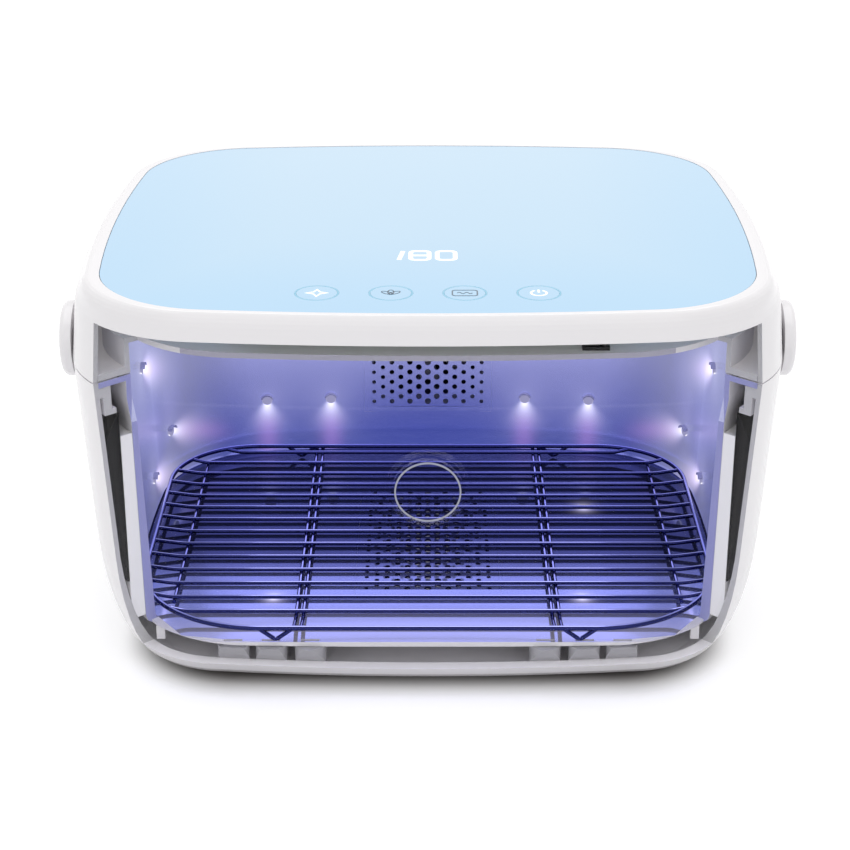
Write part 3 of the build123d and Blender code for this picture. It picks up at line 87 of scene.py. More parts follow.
RACK_HEIGHT = 27.0
RACK_RISE = 2.0
RACK_HALF_WIDTH = 137.3
RACK_FRONT = BODY_Y - 118.4
RACK_BACK = BODY_Y + 88.0
RACK_FRONT_RADIUS = 60.0
RACK_BACK_RADIUS = 44.0
RACK_WIRES = 14
RACK_PITCH = 14.03
RACK_FIRST = 20.0
RACK_RAIL = 125.5
RACK_BEARER = 60.0
RACK_BEARER_GAP = 3.4
RACK_FOOT = 70.0
RACK_FOOT_HALF = 8.0
RACK_BEND_INSET = 3.0       # cross wires turn up outside the rails
RACK_BEND_MIN = 8.0         # shortest raised end of a cross wire
RACK_RAIL_INSET = 5.0
RACK_RAIL_END = 12.0
RACK_BEARER_END = 5.0
RACK_BEARER_DROP = 1.7      # lower wires, in wire radii below the cross wires
RACK_BEND = 3.0             # radius of a bend in a wire
RACK_FOOT_BEND = 1.6
WIRE = 1.0
RIM_WIRE = 1.2

BACK_LAMPS = [(-89.3, 52.5), (-54.0, 52.5), (54.0, 52.5), (89.3, 52.5)]
SIDE_LAMPS = [(18.4, 102.8), (60.3, 50.2), (23.9, 38.6)]
SIDE_LAMP_TURNS = (0.0, 0.7, 0.0)   # how far each glow turns into the chamber
SIDE_LAMP_FALL = 0.4        # how far their glow points down
SIDE_LAMP_NEAR = (0.110, 0.006, 0.004)  # least x, then y and z round a side lamp (m)
LAMP_PROUD = 0.0006         # m
LAMP_CORE_DROP = 1.0
# painted glints of the lamps on the chamber floor (x, y in mm), laid on as emission
PAINTED_FLOOR_GLINTS = [(-74.2, -80.5), (74.2, -80.5), (82.1, 19.2)]
KEY_Y = BODY_Y - 107.1
KEY_PITCH = 32.05
DIGIT_Y = BODY_Y - 55.8
DIGIT_HALF_HEIGHT = 6.3
DIGIT_HALF_WIDTH = 4.2
DIGIT_CORNER = 2.2
DIGIT_STROKE = 2.1
LIT_STROKE = 1.0
SIGN_STROKE = 0.5
MARK_LIFT = 0.02            # above the glass

# ------------------------------------------------------------ lights and looks (m)
# painted light of the wall lamps: fans and streaks laid on the chamber walls as emission
FAN_THROAT = 0.0022
FAN_START = (-0.0010, 0.0012)
CORE_REACH = 0.012
CORE_SHARE = 0.12
STREAK_HALF_WIDTH = 0.006
STREAK_START = (0.002, 0.014)
STREAK_END = (0.075, 0.015)
PAINTED_FAN_COLOUR = (1.35, 1.30, 1.50)
PAINTED_STREAK_COLOUR = (0.13, 0.045, 0.13)
BACK_FAN = (0.0055, 3.0)    # reach and narrowness
CORNER_FAN = (0.022, 12.0)
TURNED_FAN = (0.009, 6.0)
PAINTED_GLINT_REACH = 0.0022
PAINTED_GLINT_COLOUR = (1.5, 1.4, 1.9)
GLOW_RISE = (0.030, 0.150)      # z over which the walls grow brighter
SIDE_BLEND = (0.105, 0.140)     # x over which back wall turns to side wall
PAINTED_POOL_EDGE = (-0.085, -0.118)    # y over which the painted pool of light at the front of the floor begins
# y over which the floor's colour turns paler at the front, a painted reflection
FLOOR_REFLECTION_EDGE = (-0.075, -0.030)
FLOOR_SMOOTHING = 0.82          # share of the roughness that polishing takes away
EDGE_POWER = 5.0                # growth of a pane's reflection towards its edges
LENS_TURN = (-0.75, -0.15)      # upward turn over which a lens grows dark
# painted highlight along the wire tops, by how far a face turns up
WIRE_PAINTED_HIGHLIGHT = (0.84, 0.99)
# painted reflection: x and y over which the panel's colour deepens from its paler middle
PANEL_EDGE_X = (0.06, 0.15)
PANEL_EDGE_Y = (-0.02, -0.135)
FACING = 0.9                    # least share of a normal along an axis that it counts as facing
OFF_FACE = 0.0002
OFF_LINER = 0.0004
SHADE_HALF_X = 0.088            # painted shadow: level patch of dark floor under the case
SHADE_HALF_Y = 0.078
SHADE_EDGE = (0.034, 0.062)
SHADE_COLOUR = (0.15, 0.135, 0.13)
FLOOR_COLOUR = (0.86, 0.86, 0.87)
FAR_FLOOR = (0.5, 1.5)
FAR_GLOW = (0.26, 0.7)
SKY_LIGHT = 0.66                # what the sky lights with
SKY_SEEN = 1.0                  # what the camera sees of it


# ------------------------------------------------------------ shader helpers
def linear(*rgb):
    """Linear colour from display values of 0 to 255."""
    values = [c / 255 for c in rgb]
    return [c / 12.92 if c <= 0.04045 else ((c + 0.055) / 1.055) ** 2.4 for c in values]


class Graph:
    """Small builder for shader trees."""

    def __init__(self, tree):
        self.tree = tree

    def put(self, socket, value):
        if isinstance(value, bpy.types.NodeSocket):
            self.tree.links.new(value, socket)
        elif socket.type == "RGBA":
            socket.default_value = (*value, 1.0)
        elif socket.type == "INT":
            socket.default_value = int(value)
        else:
            socket.default_value = value

    def node(self, kind, settings=None, **inputs):
        node = self.tree.nodes.new(kind)
        for key, value in (settings or {}).items():
            setattr(node, key, value)
        for key, value in inputs.items():
            self.put(node.inputs[key.replace("_", " ")], value)
        return node

    def math(self, operation, *values):
        node = self.node("ShaderNodeMath", {"operation": operation})
        for socket, value in zip(node.inputs, values):
            self.put(socket, value)
        return node.outputs[0]

    def vector(self, operation, *values, out="Vector"):
        node = self.node("ShaderNodeVectorMath", {"operation": operation})
        for socket, value in zip(node.inputs, values):
            self.put(socket, value)
        return node.outputs[out]

    def scaled(self, colour, factor):
        node = self.node("ShaderNodeVectorMath", {"operation": "SCALE"}, Scale=factor)
        self.put(node.inputs[0], colour)
        return node.outputs[0]

    def decay(self, value, reach):
        """Falls from 1 at 0 by a factor of e with each reach."""
        return self.math("EXPONENT", self.math("MULTIPLY", self.math("DIVIDE", value, reach), -1.0))

    def mix(self, factor, a, b):
        node = self.node("ShaderNodeMix", {"data_type": "RGBA"})
        self.put(node.inputs[0], factor)
        self.put(node.inputs[6], a)
        self.put(node.inputs[7], b)
        return node.outputs[2]

    def ramp(self, value, low, high, start=0.0, end=1.0):
        node = self.node("ShaderNodeMapRange", {"interpolation_type": "SMOOTHSTEP"}, Value=value,
                         From_Min=low, From_Max=high, To_Min=start, To_Max=end)
        return node.outputs[0]

    def group(self, tree, **inputs):
        node = self.tree.nodes.new("ShaderNodeGroup")
        node.node_tree = tree
        for key, value in inputs.items():
            self.put(node.inputs[key.replace("_", " ")], value)
        return node.outputs

    def place(self):
        """Object coordinates, split."""
        position = self.node("ShaderNodeTexCoord").outputs["Object"]
        split = self.node("ShaderNodeSeparateXYZ", Vector=position)
        return position, split.outputs


def new_group(name, inputs, outputs):
    """Empty node group: its tree, sources, targets and builder."""
    tree = bpy.data.node_groups.new(name, "ShaderNodeTree")
    for label, kind, default in inputs:
        socket = tree.interface.new_socket(label, in_out="INPUT", socket_type=kind)
        socket.default_value = default
    for label, kind in outputs:
        tree.interface.new_socket(label, in_out="OUTPUT", socket_type=kind)
    source = tree.nodes.new("NodeGroupInput").outputs
    target = tree.nodes.new("NodeGroupOutput").inputs
    return tree, source, target, Graph(tree)


def build_moulded_group():
    """Faint orange-peel of a moulded skin and small changes of its gloss."""
    tree, source, target, g = new_group(
        "moulded_skin",
        [("Roughness", "NodeSocketFloat", 0.3), ("Variation", "NodeSocketFloat", 0.05),
         ("Scale", "NodeSocketFloat", 300.0), ("Relief", "NodeSocketFloat", 0.02)],
        [("Roughness", "NodeSocketFloat"), ("Normal", "NodeSocketVector")])
    position, _ = g.place()
    fine = g.node("ShaderNodeTexNoise", Vector=position, Scale=source["Scale"], Detail=2.0).outputs[0]
    broad = g.node("ShaderNodeTexNoise", Vector=position, Scale=14.0, Detail=3.0).outputs[0]
    spread = g.math("MULTIPLY", g.math("SUBTRACT", broad, 0.5), source["Variation"])
    g.put(target["Roughness"], g.math("ADD", source["Roughness"], spread))
    bump = g.node("ShaderNodeBump", Strength=source["Relief"], Distance=0.0004, Height=fine)
    g.put(target["Normal"], bump.outputs[0])
    return tree


def build_painted_fan_group():
    """Painted light that a wall lamp throws on the wall beside it: core, fan and a faint streak, laid on as
    emission.
    """
    tree, source, target, g = new_group(
        "painted_lamp_fan",
        [("Position", "NodeSocketVector", (0, 0, 0)), ("Lamp", "NodeSocketVector", (0, 0, 0)),
         ("Direction", "NodeSocketVector", (0, 0, -1)), ("Reach", "NodeSocketFloat", 0.006),
         ("Narrowness", "NodeSocketFloat", 3.2)],
        [("Fan", "NodeSocketFloat"), ("Streak", "NodeSocketFloat")])
    offset = g.vector("SUBTRACT", source["Position"], source["Lamp"])
    along = g.vector("DOT_PRODUCT", offset, source["Direction"], out="Value")
    distance = g.vector("LENGTH", offset, out="Value")
    square = g.math("SUBTRACT", g.math("MULTIPLY", distance, distance), g.math("MULTIPLY", along, along))
    across = g.math("SQRT", g.math("MAXIMUM", square, 0.0))
    forward = g.math("MAXIMUM", along, 0.0)
    spread = g.math("POWER", g.math("DIVIDE", across, g.math("ADD", forward, FAN_THROAT)), 2.0)
    cone = g.math("EXPONENT", g.math("MULTIPLY", spread, g.math("MULTIPLY", source["Narrowness"], -1.0)))
    fall = g.decay(forward, source["Reach"])
    fan = g.math("MULTIPLY", g.math("MULTIPLY", cone, fall), g.ramp(along, *FAN_START))
    core = g.decay(distance, CORE_REACH)
    g.put(target["Fan"], g.math("ADD", fan, g.math("MULTIPLY", core, CORE_SHARE)))
    narrow = g.decay(g.math("POWER", g.math("DIVIDE", across, STREAK_HALF_WIDTH), 2.0), 1.0)
    fade = g.math("MULTIPLY", g.ramp(along, *STREAK_START), g.ramp(along, *STREAK_END))
    g.put(target["Streak"], g.math("MULTIPLY", narrow, fade))
    return tree


MOULDED = build_moulded_group()
PAINTED_LAMP_FAN = build_painted_fan_group()


def material(name):
    """New material with its tree emptied down to the output."""
    made = bpy.data.materials.new(name)
    made.use_nodes = True
    made.node_tree.nodes.clear()
    g = Graph(made.node_tree)
    out = g.node("ShaderNodeOutputMaterial")
    return made, g, out.inputs["Surface"]


def principled(g, **inputs):
    """Principled shader in a material's tree."""
    return g.node("ShaderNodeBsdfPrincipled", None, **inputs)


def moulded(name, colour, roughness=0.3, metallic=0.0, coat=0.0, relief=0.02, scale=300.0, **more):
    """Look of a moulded, cast or painted surface."""
    made, g, surface = material(name)
    skin = g.group(MOULDED, Roughness=roughness, Relief=relief, Scale=scale)
    bsdf = principled(g, Base_Color=colour, Metallic=metallic, Roughness=skin["Roughness"],
                      Normal=skin["Normal"], Coat_Weight=coat, Coat_Roughness=0.08, **more)
    g.put(surface, bsdf.outputs[0])
    return made


def wall_inset(height):
    """How far the drafted chamber wall stands in from the mouth (mm)."""
    return WALL_STEP + WALL_DRAFT * (WALL_STEP_HEIGHT - height)


def lamp_places():
    """Wall lamps as position, direction of the glow, its reach (metres) and its narrowness."""
    places = []
    for x, z in BACK_LAMPS:
        y = CHAMBER_Y + MOUTH_HALF_DEPTH - wall_inset(z) - x * x / (2 * FRONT_BOW)
        places.append((Vector((x, y, z - LAMP_CORE_DROP)) * MM, Vector((0, 0, -1)), *BACK_FAN))
    least_x, near_y, near_z = SIDE_LAMP_NEAR
    for side in (-1, 1):
        for (y, z), turn in zip(SIDE_LAMPS, SIDE_LAMP_TURNS):
            across, height = (y + BODY_Y) * MM, z * MM
            near = [v.co.x for v in NODES["wall_lamps"].data.vertices
                    if v.co.x * side > least_x and abs(v.co.z - height) < near_z
                    and abs(v.co.y - across) < near_y]
            place = Vector((sum(near) / len(near) - side * LAMP_PROUD, across, height))
            direction = Vector((-side * turn, 1, -SIDE_LAMP_FALL)).normalized()
            places.append((place, direction, *(TURNED_FAN if turn else CORNER_FAN)))
    return places


def painted_wall_light(g, position, x, z):
    """Painted light of the chamber walls: emission for the lamps' light on them, with each lamp's painted fan
    and streak.
    """
    # painted light: walls dim low down and bright higher up
    height = g.ramp(z, *GLOW_RISE)
    back = g.mix(height, linear(45, 58, 138), linear(184, 184, 214))
    sides = g.mix(height, linear(90, 94, 134), linear(133, 136, 142))
    total = g.mix(g.ramp(g.math("ABSOLUTE", x), *SIDE_BLEND), back, sides)
    for lamp, direction, reach, narrowness in LAMPS:
        glow = g.group(PAINTED_LAMP_FAN, Position=position, Lamp=tuple(lamp), Direction=tuple(direction),
                       Reach=reach, Narrowness=narrowness)
        white, violet = g.scaled(PAINTED_FAN_COLOUR, glow["Fan"]), g.scaled(PAINTED_STREAK_COLOUR, glow["Streak"])
        total = g.vector("ADD", total, g.vector("ADD", white, violet))
    return total


def liner_material():
    """Mirror-finished lavender chamber with its lamps' light painted on as emission, and a polished floor
    with a painted reflection in its colour.
    """
    made, g, surface = material("liner_silver")
    position, (x, y, z) = g.place()
    skin = g.group(MOULDED, Roughness=0.24, Relief=0.01, Variation=0.04, Scale=160.0)
    floor = g.math("LESS_THAN", z, (FLOOR_HEIGHT + 0.6) * MM)
    kept = g.math("SUBTRACT", 1.0, g.math("MULTIPLY", floor, FLOOR_SMOOTHING))
    roughness = g.math("MULTIPLY", skin["Roughness"], kept)
    # painted light on the floor: a bright pool at its front and the lamps' glints, as emission
    painted_floor_light = g.mix(g.ramp(y, *PAINTED_POOL_EDGE), linear(10, 10, 20), linear(97, 93, 92))
    for glint in PAINTED_FLOOR_GLINTS:
        spot = Vector((*glint, FLOOR_HEIGHT)) * MM
        distance = g.vector("LENGTH", g.vector("SUBTRACT", position, tuple(spot)), out="Value")
        painted_floor_light = g.vector("ADD", painted_floor_light, g.scaled(PAINTED_GLINT_COLOUR, g.decay(distance, PAINTED_GLINT_REACH)))
    glow = g.mix(floor, painted_wall_light(g, position, x, z), painted_floor_light)
    # painted reflection: the floor's colour grows paler towards the front
    painted_floor_reflection = g.mix(g.ramp(y, *FLOOR_REFLECTION_EDGE), linear(172, 180, 222), linear(58, 66, 112))
    base = g.mix(floor, linear(124, 126, 168), painted_floor_reflection)
    mirror = principled(g, Base_Color=base, Metallic=0.85, Roughness=roughness, Normal=skin["Normal"],
                        Emission_Color=glow, Emission_Strength=1.0)
    g.put(surface, mirror.outputs[0])
    return made


def clear_material(name, gloss):
    """Very clear pane: light passes, with a reflection that grows towards its edges."""
    made, g, surface = material(name)
    clear = g.node("ShaderNodeBsdfTransparent", None, Color=(1, 1, 1))
    shine = g.node("ShaderNodeBsdfGlossy", None, Color=(1, 1, 1), Roughness=0.05)
    both = g.node("ShaderNodeMixShader")
    facing = g.node("ShaderNodeLayerWeight", None, Blend=0.5).outputs["Facing"]
    g.put(both.inputs[0], g.math("MULTIPLY", g.math("POWER", facing, EDGE_POWER), gloss))
    g.put(both.inputs[1], clear.outputs[0])
    g.put(both.inputs[2], shine.outputs[0])
    g.put(surface, both.outputs[0])
    return made


def glow_material(name, colour, strength):
    """Look that shines by itself."""
    made, g, surface = material(name)
    light = g.node("ShaderNodeEmission", None, Color=colour, Strength=strength)
    g.put(surface, light.outputs[0])
    return made


def upward(g, low, high):
    """0 to 1 as a face turns up."""
    normal = g.node("ShaderNodeTexCoord").outputs["Normal"]
    return g.ramp(g.node("ShaderNodeSeparateXYZ", Vector=normal).outputs[2], low, high)


def lens_material():
    """Lamp lens that shines downwards below its hood."""
    made, g, surface = material("lamp_white")
    colour = g.mix(upward(g, *LENS_TURN), (0.96, 0.94, 1.0), (0.27, 0.265, 0.44))
    light = g.node("ShaderNodeEmission", None, Color=colour, Strength=1.15)
    g.put(surface, light.outputs[0])
    return made


def steel_material():
    """Polished round wire: deep blue sides with a pale line along the top, a painted highlight set by which
    way each face turns.
    """
    made, g, surface = material("wire_steel")
    skin = g.group(MOULDED, Roughness=0.12, Relief=0.004)
    colour = g.mix(upward(g, *WIRE_PAINTED_HIGHLIGHT), linear(38, 42, 92), linear(206, 210, 250))
    bsdf = principled(g, Base_Color=colour, Metallic=1.0, Roughness=skin["Roughness"], Normal=skin["Normal"])
    g.put(surface, bsdf.outputs[0])
    return made


def panel_material():
    """Pale blue back-printed glass, a little deeper towards its edges (sides and front); the paler middle and
    back are a painted reflection.
    """
    made, g, surface = material("panel_glass")
    _, (x, y, _) = g.place()
    side = g.ramp(g.math("ABSOLUTE", x), *PANEL_EDGE_X)
    edge = g.math("MAXIMUM", side, g.ramp(y, *PANEL_EDGE_Y))
    colour = g.mix(edge, linear(168, 208, 236), linear(156, 204, 237))
    skin = g.group(MOULDED, Roughness=0.07, Relief=0.002, Variation=0.02)
    bsdf = principled(g, Base_Color=colour, Roughness=skin["Roughness"], Coat_Weight=1.0,
                      Coat_Roughness=0.02, IOR=1.5)
    g.put(surface, bsdf.outputs[0])
    return made


LAMPS = lamp_places()
SHELL = moulded("shell_white", linear(236, 234, 236), 0.26, coat=0.25, relief=0.012, scale=420.0)
SECTION = moulded("cut_section", linear(190, 189, 191), 0.5, relief=0.02)
SHELL_INSIDE = moulded("shell_inside", linear(240, 238, 241), 0.55, relief=0.03)
LINER_EDGE = moulded("liner_edge", linear(152, 154, 205), 0.4, relief=0.01)
LINER_OUTSIDE = moulded("liner_outside", linear(222, 220, 224), 0.5, relief=0.03)
# painted light: brighter copy of the section look, with a little emission, for cut faces that face up
SECTION_PAINTED_LIGHT = moulded("section_ledge", linear(243, 241, 246), 0.5, relief=0.02,
                Emission_Color=(1.0, 0.98, 1.0), Emission_Strength=0.10)
# painted light: the lid tray's upward faces glow a little
LID_TRAY_PAINTED_LIGHT = moulded("lid_tray", linear(226, 223, 224), 0.55, relief=0.02,
                   Emission_Color=(1.0, 0.96, 0.96), Emission_Strength=0.085)
# painted shade: darker copy for the lid tray's front faces, under the lid's overhang
LID_FRONT_PAINTED_SHADE = moulded("lid_lip", linear(170, 168, 184), 0.45, relief=0.02)
LINER = liner_material()
CLEAR = clear_material("clear_pane", 0.35)
CLEAR_INNER = clear_material("clear_inner", 0.15)
PANEL = panel_material()
KEY = moulded("key_mark", linear(138, 196, 222), 0.3, relief=0.0)
INNER = moulded("inner_grey", linear(160, 160, 190), 0.5, relief=0.06)
LIGHT_GREY = moulded("post_grey", linear(166, 165, 169), 0.45, relief=0.05)
# near-black pads in the side wall cavities
DARK_PAD = moulded("foam_dark", linear(26, 25, 26), 0.9, relief=0.5, scale=900.0, Specular_IOR_Level=0.2)
RAIL = moulded("rail_grey", linear(245, 244, 243), 0.45, relief=0.03)
STEEL = steel_material()
BOARD = moulded("board_green", linear(18, 84, 48), 0.4, relief=0.05, coat=0.4)
BLACK = moulded("part_black", linear(28, 28, 31), 0.42, relief=0.05)
METAL = moulded("part_metal", linear(188, 188, 192), 0.3, metallic=1.0, relief=0.03)
# painted shade: the heater behind the back grille is near black so its holes look dark
HEATER_PAINTED_SHADE = moulded("heater_painted_shade", linear(14, 14, 34), 0.6, relief=0.03, Specular_IOR_Level=0.1)
FAN_BLACK = moulded("fan_black", linear(12, 12, 24), 0.6, relief=0.05, Specular_IOR_Level=0.1)
# painted shade: near-black walls inside the grille holes
HOLE_PAINTED_SHADE = moulded("hole_wall", linear(30, 30, 66), 0.5, relief=0.01, Specular_IOR_Level=0.2)
COPPER = moulded("copper_coil", linear(150, 92, 42), 0.4, metallic=0.6, relief=0.4)
FILTER = moulded("filter_white", linear(222, 222, 214), 0.9, relief=0.7, scale=700.0)
SEAL = moulded("seal_grey", linear(100, 100, 104), 0.7, relief=0.1)
RUBBER = moulded("foot_rubber", linear(44, 44, 47), 0.8, relief=0.25)
LENS = lens_material()
GLOW = glow_material("display_glow", (1.0, 1.0, 1.0), 1.25)
ICON_LINE = moulded("icon_line", linear(104, 118, 132), 0.4, relief=0.0)
LINE_WHITE = glow_material("line_white", (0.80, 0.82, 0.98), 0.42)

CAD_LOOKS = {
    SHELL: ["side_caps", "hinge_base_leaves", "hinge_lid_leaves"],
    CLEAR: ["front_window", "lid_window"],
    CLEAR_INNER: ["release_button", "button_carrier", "striker", "button_spring"],
    PANEL: ["top_panel"],
    KEY: ["key_rings"],
    INNER: ["lamp_hoods"],
    LIGHT_GREY: ["floor_posts", "board_posts"],
    DARK_PAD: ["wall_pad_left", "wall_pad_right"],
    RAIL: ["side_rail_left", "side_rail_right"],
    BOARD: ["power_board", "control_board", "ceiling_boards"],
    FAN_BLACK: ["fan_frame", "fan_impeller"],
    BLACK: ["power_capacitors", "power_jack", "display_module", "lid_sensor"],
    HEATER_PAINTED_SHADE: ["heater"],
    METAL: ["key_pads", "hinge_pins"],
    COPPER: ["power_coil"],
    FILTER: ["air_filter"],
    SEAL: ["lid_seal"],
    RUBBER: ["rubber_feet"],
    LENS: ["wall_lamps", "ceiling_lamps"],
    LINE_WHITE: ["button_line"],
    STEEL: ["wire_rack"],
}
for look, names in CAD_LOOKS.items():
    for name in names:
        NODES[name].data.materials.clear()
        NODES[name].data.materials.append(look)


# ------------------------------------------------------------ cut mouldings
def chamber_corner(height):
    """Corner centre, corner radius and half sizes of the chamber outline at a height (mm)."""
    inset = wall_inset(height) if height < WALL_STEP_HEIGHT else 0.0
    half_width, half_depth = MOUTH_HALF_WIDTH - inset, MOUTH_HALF_DEPTH - inset
    corner = CHAMBER_CORNER - inset
    front, side = (0.0, FRONT_BOW - half_depth), (half_width - SIDE_BOW, 0.0)
    reach_front, reach_side = FRONT_BOW - corner, SIDE_BOW - corner
    dx, dy = front[0] - side[0], front[1] - side[1]
    gap = math.hypot(dx, dy)
    along = (gap ** 2 + reach_side ** 2 - reach_front ** 2) / (2 * gap)
    off = math.sqrt(reach_side ** 2 - along ** 2)
    centre = (side[0] + (along * dx + off * dy) / gap, abs(side[1] + (along * dy - off * dx) / gap))
    return centre, corner, half_width, half_depth


def in_chamber(point):
    """Whether a point (metres) lies in the hollow that the lamps light."""
    x, y, z = point / MM
    x, y = abs(x), abs(y - CHAMBER_Y)
    if not FLOOR_HEIGHT - CHAMBER_NEAR < z < CEILING_HEIGHT + CHAMBER_NEAR:
        return False
    (cx, cy), corner, half_width, half_depth = chamber_corner(z)
    if x > cx and y > cy and math.hypot(x - cx, y - cy) > corner:
        return False
    inside_front = math.hypot(x, y + FRONT_BOW - half_depth) < FRONT_BOW
    return inside_front and math.hypot(x + SIDE_BOW - half_width, y) < SIDE_BOW


def on_cut(point):
    """Whether a point (metres) lies on a face where the walls are cut open."""
    x, y, z = point / MM
    plane = y - CUT_CORNER[1] - (CUT_CORNER[0] - abs(x)) * CUT_SLOPE
    level = min(abs(z - CUT_BOTTOM), abs(z - CUT_TOP)) < CUT_LEVEL_NEAR
    return abs(plane) < CUT_NEAR or (level and plane < CUT_BEHIND)


def closed_form(names):
    """Search tree over several nodes."""
    verts, faces = [], []
    for name in names:
        mesh = NODES[name].data
        start = len(verts)
        verts += [v.co.copy() for v in mesh.vertices]
        faces += [[start + i for i in p.vertices] for p in mesh.polygons]
    return BVHTree.FromPolygons(verts, faces)


def paint(name, looks, choose):
    """Gives each face of a node one of several looks."""
    mesh = NODES[name].data
    mesh.materials.clear()
    for look in looks:
        mesh.materials.append(look)
    for face in mesh.polygons:
        face.material_index = looks.index(choose(face.center, face.normal))


def paint_mouldings():
    """Looks of the two shells and the two liners, face by face."""
    case = closed_form(["base_shell", "front_window", "lid_shell", "lid_window", "top_panel"])

    def shell(centre, normal):
        if on_cut(centre):
            # cut faces that face up take the painted-light copy of the section look
            return SECTION_PAINTED_LIGHT if normal.z > FACING else SECTION
        enclosed = case.ray_cast(centre + normal * OFF_FACE, normal)[0] is not None
        return SHELL_INSIDE if enclosed else SHELL

    def liner(centre, normal):
        if in_chamber(centre + normal * OFF_LINER):
            return LINER
        return LINER_EDGE if on_cut(centre) else LINER_OUTSIDE

    def lid_liner(centre, normal):
        if in_chamber(centre + normal * OFF_LINER):
            return LINER
        if on_cut(centre):
            return SECTION
        # painted light on the tray's upward faces, painted shade on its front faces
        if normal.z > FACING:
            return LID_TRAY_PAINTED_LIGHT
        return LID_FRONT_PAINTED_SHADE if normal.y < -FACING else LINER_OUTSIDE

    for name in ("base_shell", "lid_shell"):
        paint(name, [SHELL, SHELL_INSIDE, SECTION, SECTION_PAINTED_LIGHT], shell)
    paint("chamber_liner", [LINER, LINER_EDGE, LINER_OUTSIDE], liner)
    paint("lid_liner", [LINER, SECTION, LINER_OUTSIDE, LID_TRAY_PAINTED_LIGHT, LID_FRONT_PAINTED_SHADE], lid_liner)


paint_mouldings()


# ------------------------------------------------------------ mesh helpers
def link(name, mesh, look):
    """New object in the scene with one look."""
    made = bpy.data.objects.new(name, mesh)
    bpy.context.scene.collection.objects.link(made)
    mesh.materials.clear()
    mesh.materials.append(look)
    return made


def tube(name, runs, look):
    """Round wires through lists of points (mm), each with its radius and whether it closes."""
    curve = bpy.data.curves.new(name, "CURVE")
    curve.dimensions = "3D"
    curve.bevel_depth = 1.0
    curve.bevel_resolution = 4
    curve.use_fill_caps = True
    for radius, points, closed in runs:
        spline = curve.splines.new("POLY")
        spline.points.add(len(points) - 1)
        spline.use_cyclic_u = closed
        for target, point in zip(spline.points, points):
            target.co = (*(Vector(point) * MM), 1.0)
            target.radius = radius * MM
    holder = bpy.data.objects.new(name, curve)
    bpy.context.scene.collection.objects.link(holder)
    depsgraph = bpy.context.evaluated_depsgraph_get()
    mesh = bpy.data.meshes.new_from_object(holder.evaluated_get(depsgraph))
    bpy.data.objects.remove(holder)
    mesh.shade_smooth()
    return link(name, mesh, look)


def soften(points, radius, steps=5):
    """Rounds each inner bend of an open line."""
    rounded = [Vector(points[0])]
    for before, at, after in zip(points, points[1:], points[2:]):
        before, at, after = Vector(before), Vector(at), Vector(after)
        reach = min(radius, (before - at).length / 2, (after - at).length / 2)
        start = at + (before - at).normalized() * reach
        end = at + (after - at).normalized() * reach
        for step in range(steps + 1):
            t = step / steps
            rounded.append(start * (1 - t) ** 2 + at * 2 * t * (1 - t) + end * t ** 2)
    return rounded + [Vector(points[-1])]


def ribbon(name, strokes, look, height, thickness=0.06):
    """Flat raised lines on a level face; strokes are (points, width, closed) in mm."""
    verts, faces = [], []
    for points, width, closed in strokes:
        points = [Vector((*p, 0)) for p in points]
        count = len(points)
        start = len(verts)
        for i, point in enumerate(points):
            before = points[i - 1] if closed or i else point - (points[1] - point)
            after = points[(i + 1) % count] if closed or i < count - 1 else point + (point - points[i - 1])
            a, b = (point - before).normalized(), (after - point).normalized()
            normal = Vector((-(a + b).y, (a + b).x, 0)).normalized()
            half = width / 2 / max(0.5, normal.dot(Vector((-a.y, a.x, 0))))
            for side in (-1, 1):
                for z in (height, height + thickness):
                    flat = point + normal * half * side
                    verts.append(Vector((flat.x, flat.y, z)) * MM)
        for i in range(count if closed else count - 1):
            p, q = start + 4 * i, start + 4 * ((i + 1) % count)
            faces += [(p + 1, q + 1, q + 3, p + 3), (p, p + 1, q + 1, q),
                      (p + 2, q + 2, q + 3, p + 3), (p, q, q + 2, p + 2)]
        if not closed:
            last = start + 4 * (count - 1)
            faces += [(start, start + 2, start + 3, start + 1), (last, last + 1, last + 3, last + 2)]
    mesh = bpy.data.meshes.new(name)
    mesh.from_pydata(verts, [], faces)
    return link(name, mesh, look)


def arc(cx, cy, rx, ry, start, end, count):
    """Points of an elliptic arc between two angles in degrees."""
    angles = [math.radians(start + (end - start) * i / count) for i in range(count + 1)]
    return [(cx + rx * math.cos(angle), cy + ry * math.sin(angle)) for angle in angles]


def round_box(cx, cy, half_x, half_y, corner, count=5):
    """Points of a rectangle with rounded corners."""
    points = []
    for sx, sy, start in ((1, 1, 0), (-1, 1, 90), (-1, -1, 180), (1, -1, 270)):
        centre = cx + sx * (half_x - corner), cy + sy * (half_y - corner)
        points += arc(*centre, corner, corner, start, start + 90, count)
    return points


# ------------------------------------------------------------ clear catch
def lean(x, y, z):
    """Sets a point built behind an upright plane against the leaning, bowed front."""
    return x, y + x * x / (2 * FRONT_BOW) - FRONT_LEAN * (z - BUTTON_HEIGHT), z


def lathe(profile, closed, sides=72):
    """Turns a (radius, y) profile about the button axis; an open one starts and ends on the axis."""
    inner = profile if closed else profile[1:-1]
    count = len(inner)
    verts, faces = [], []
    for step in range(sides):
        angle = 2 * math.pi * step / sides
        verts += [(r * math.cos(angle), y, BUTTON_HEIGHT + r * math.sin(angle)) for r, y in inner]
    for step in range(sides):
        a, b = step * count, (step + 1) % sides * count
        faces += [(a + k, b + k, b + (k + 1) % count, a + (k + 1) % count)
                  for k in range(count if closed else count - 1)]
    if not closed:
        for end, k in ((0, 0), (-1, count - 1)):
            verts.append((0.0, profile[end][1], BUTTON_HEIGHT))
            faces += [(len(verts) - 1, step * count + k, (step + 1) % sides * count + k)
                      for step in range(sides)]
    return verts, faces


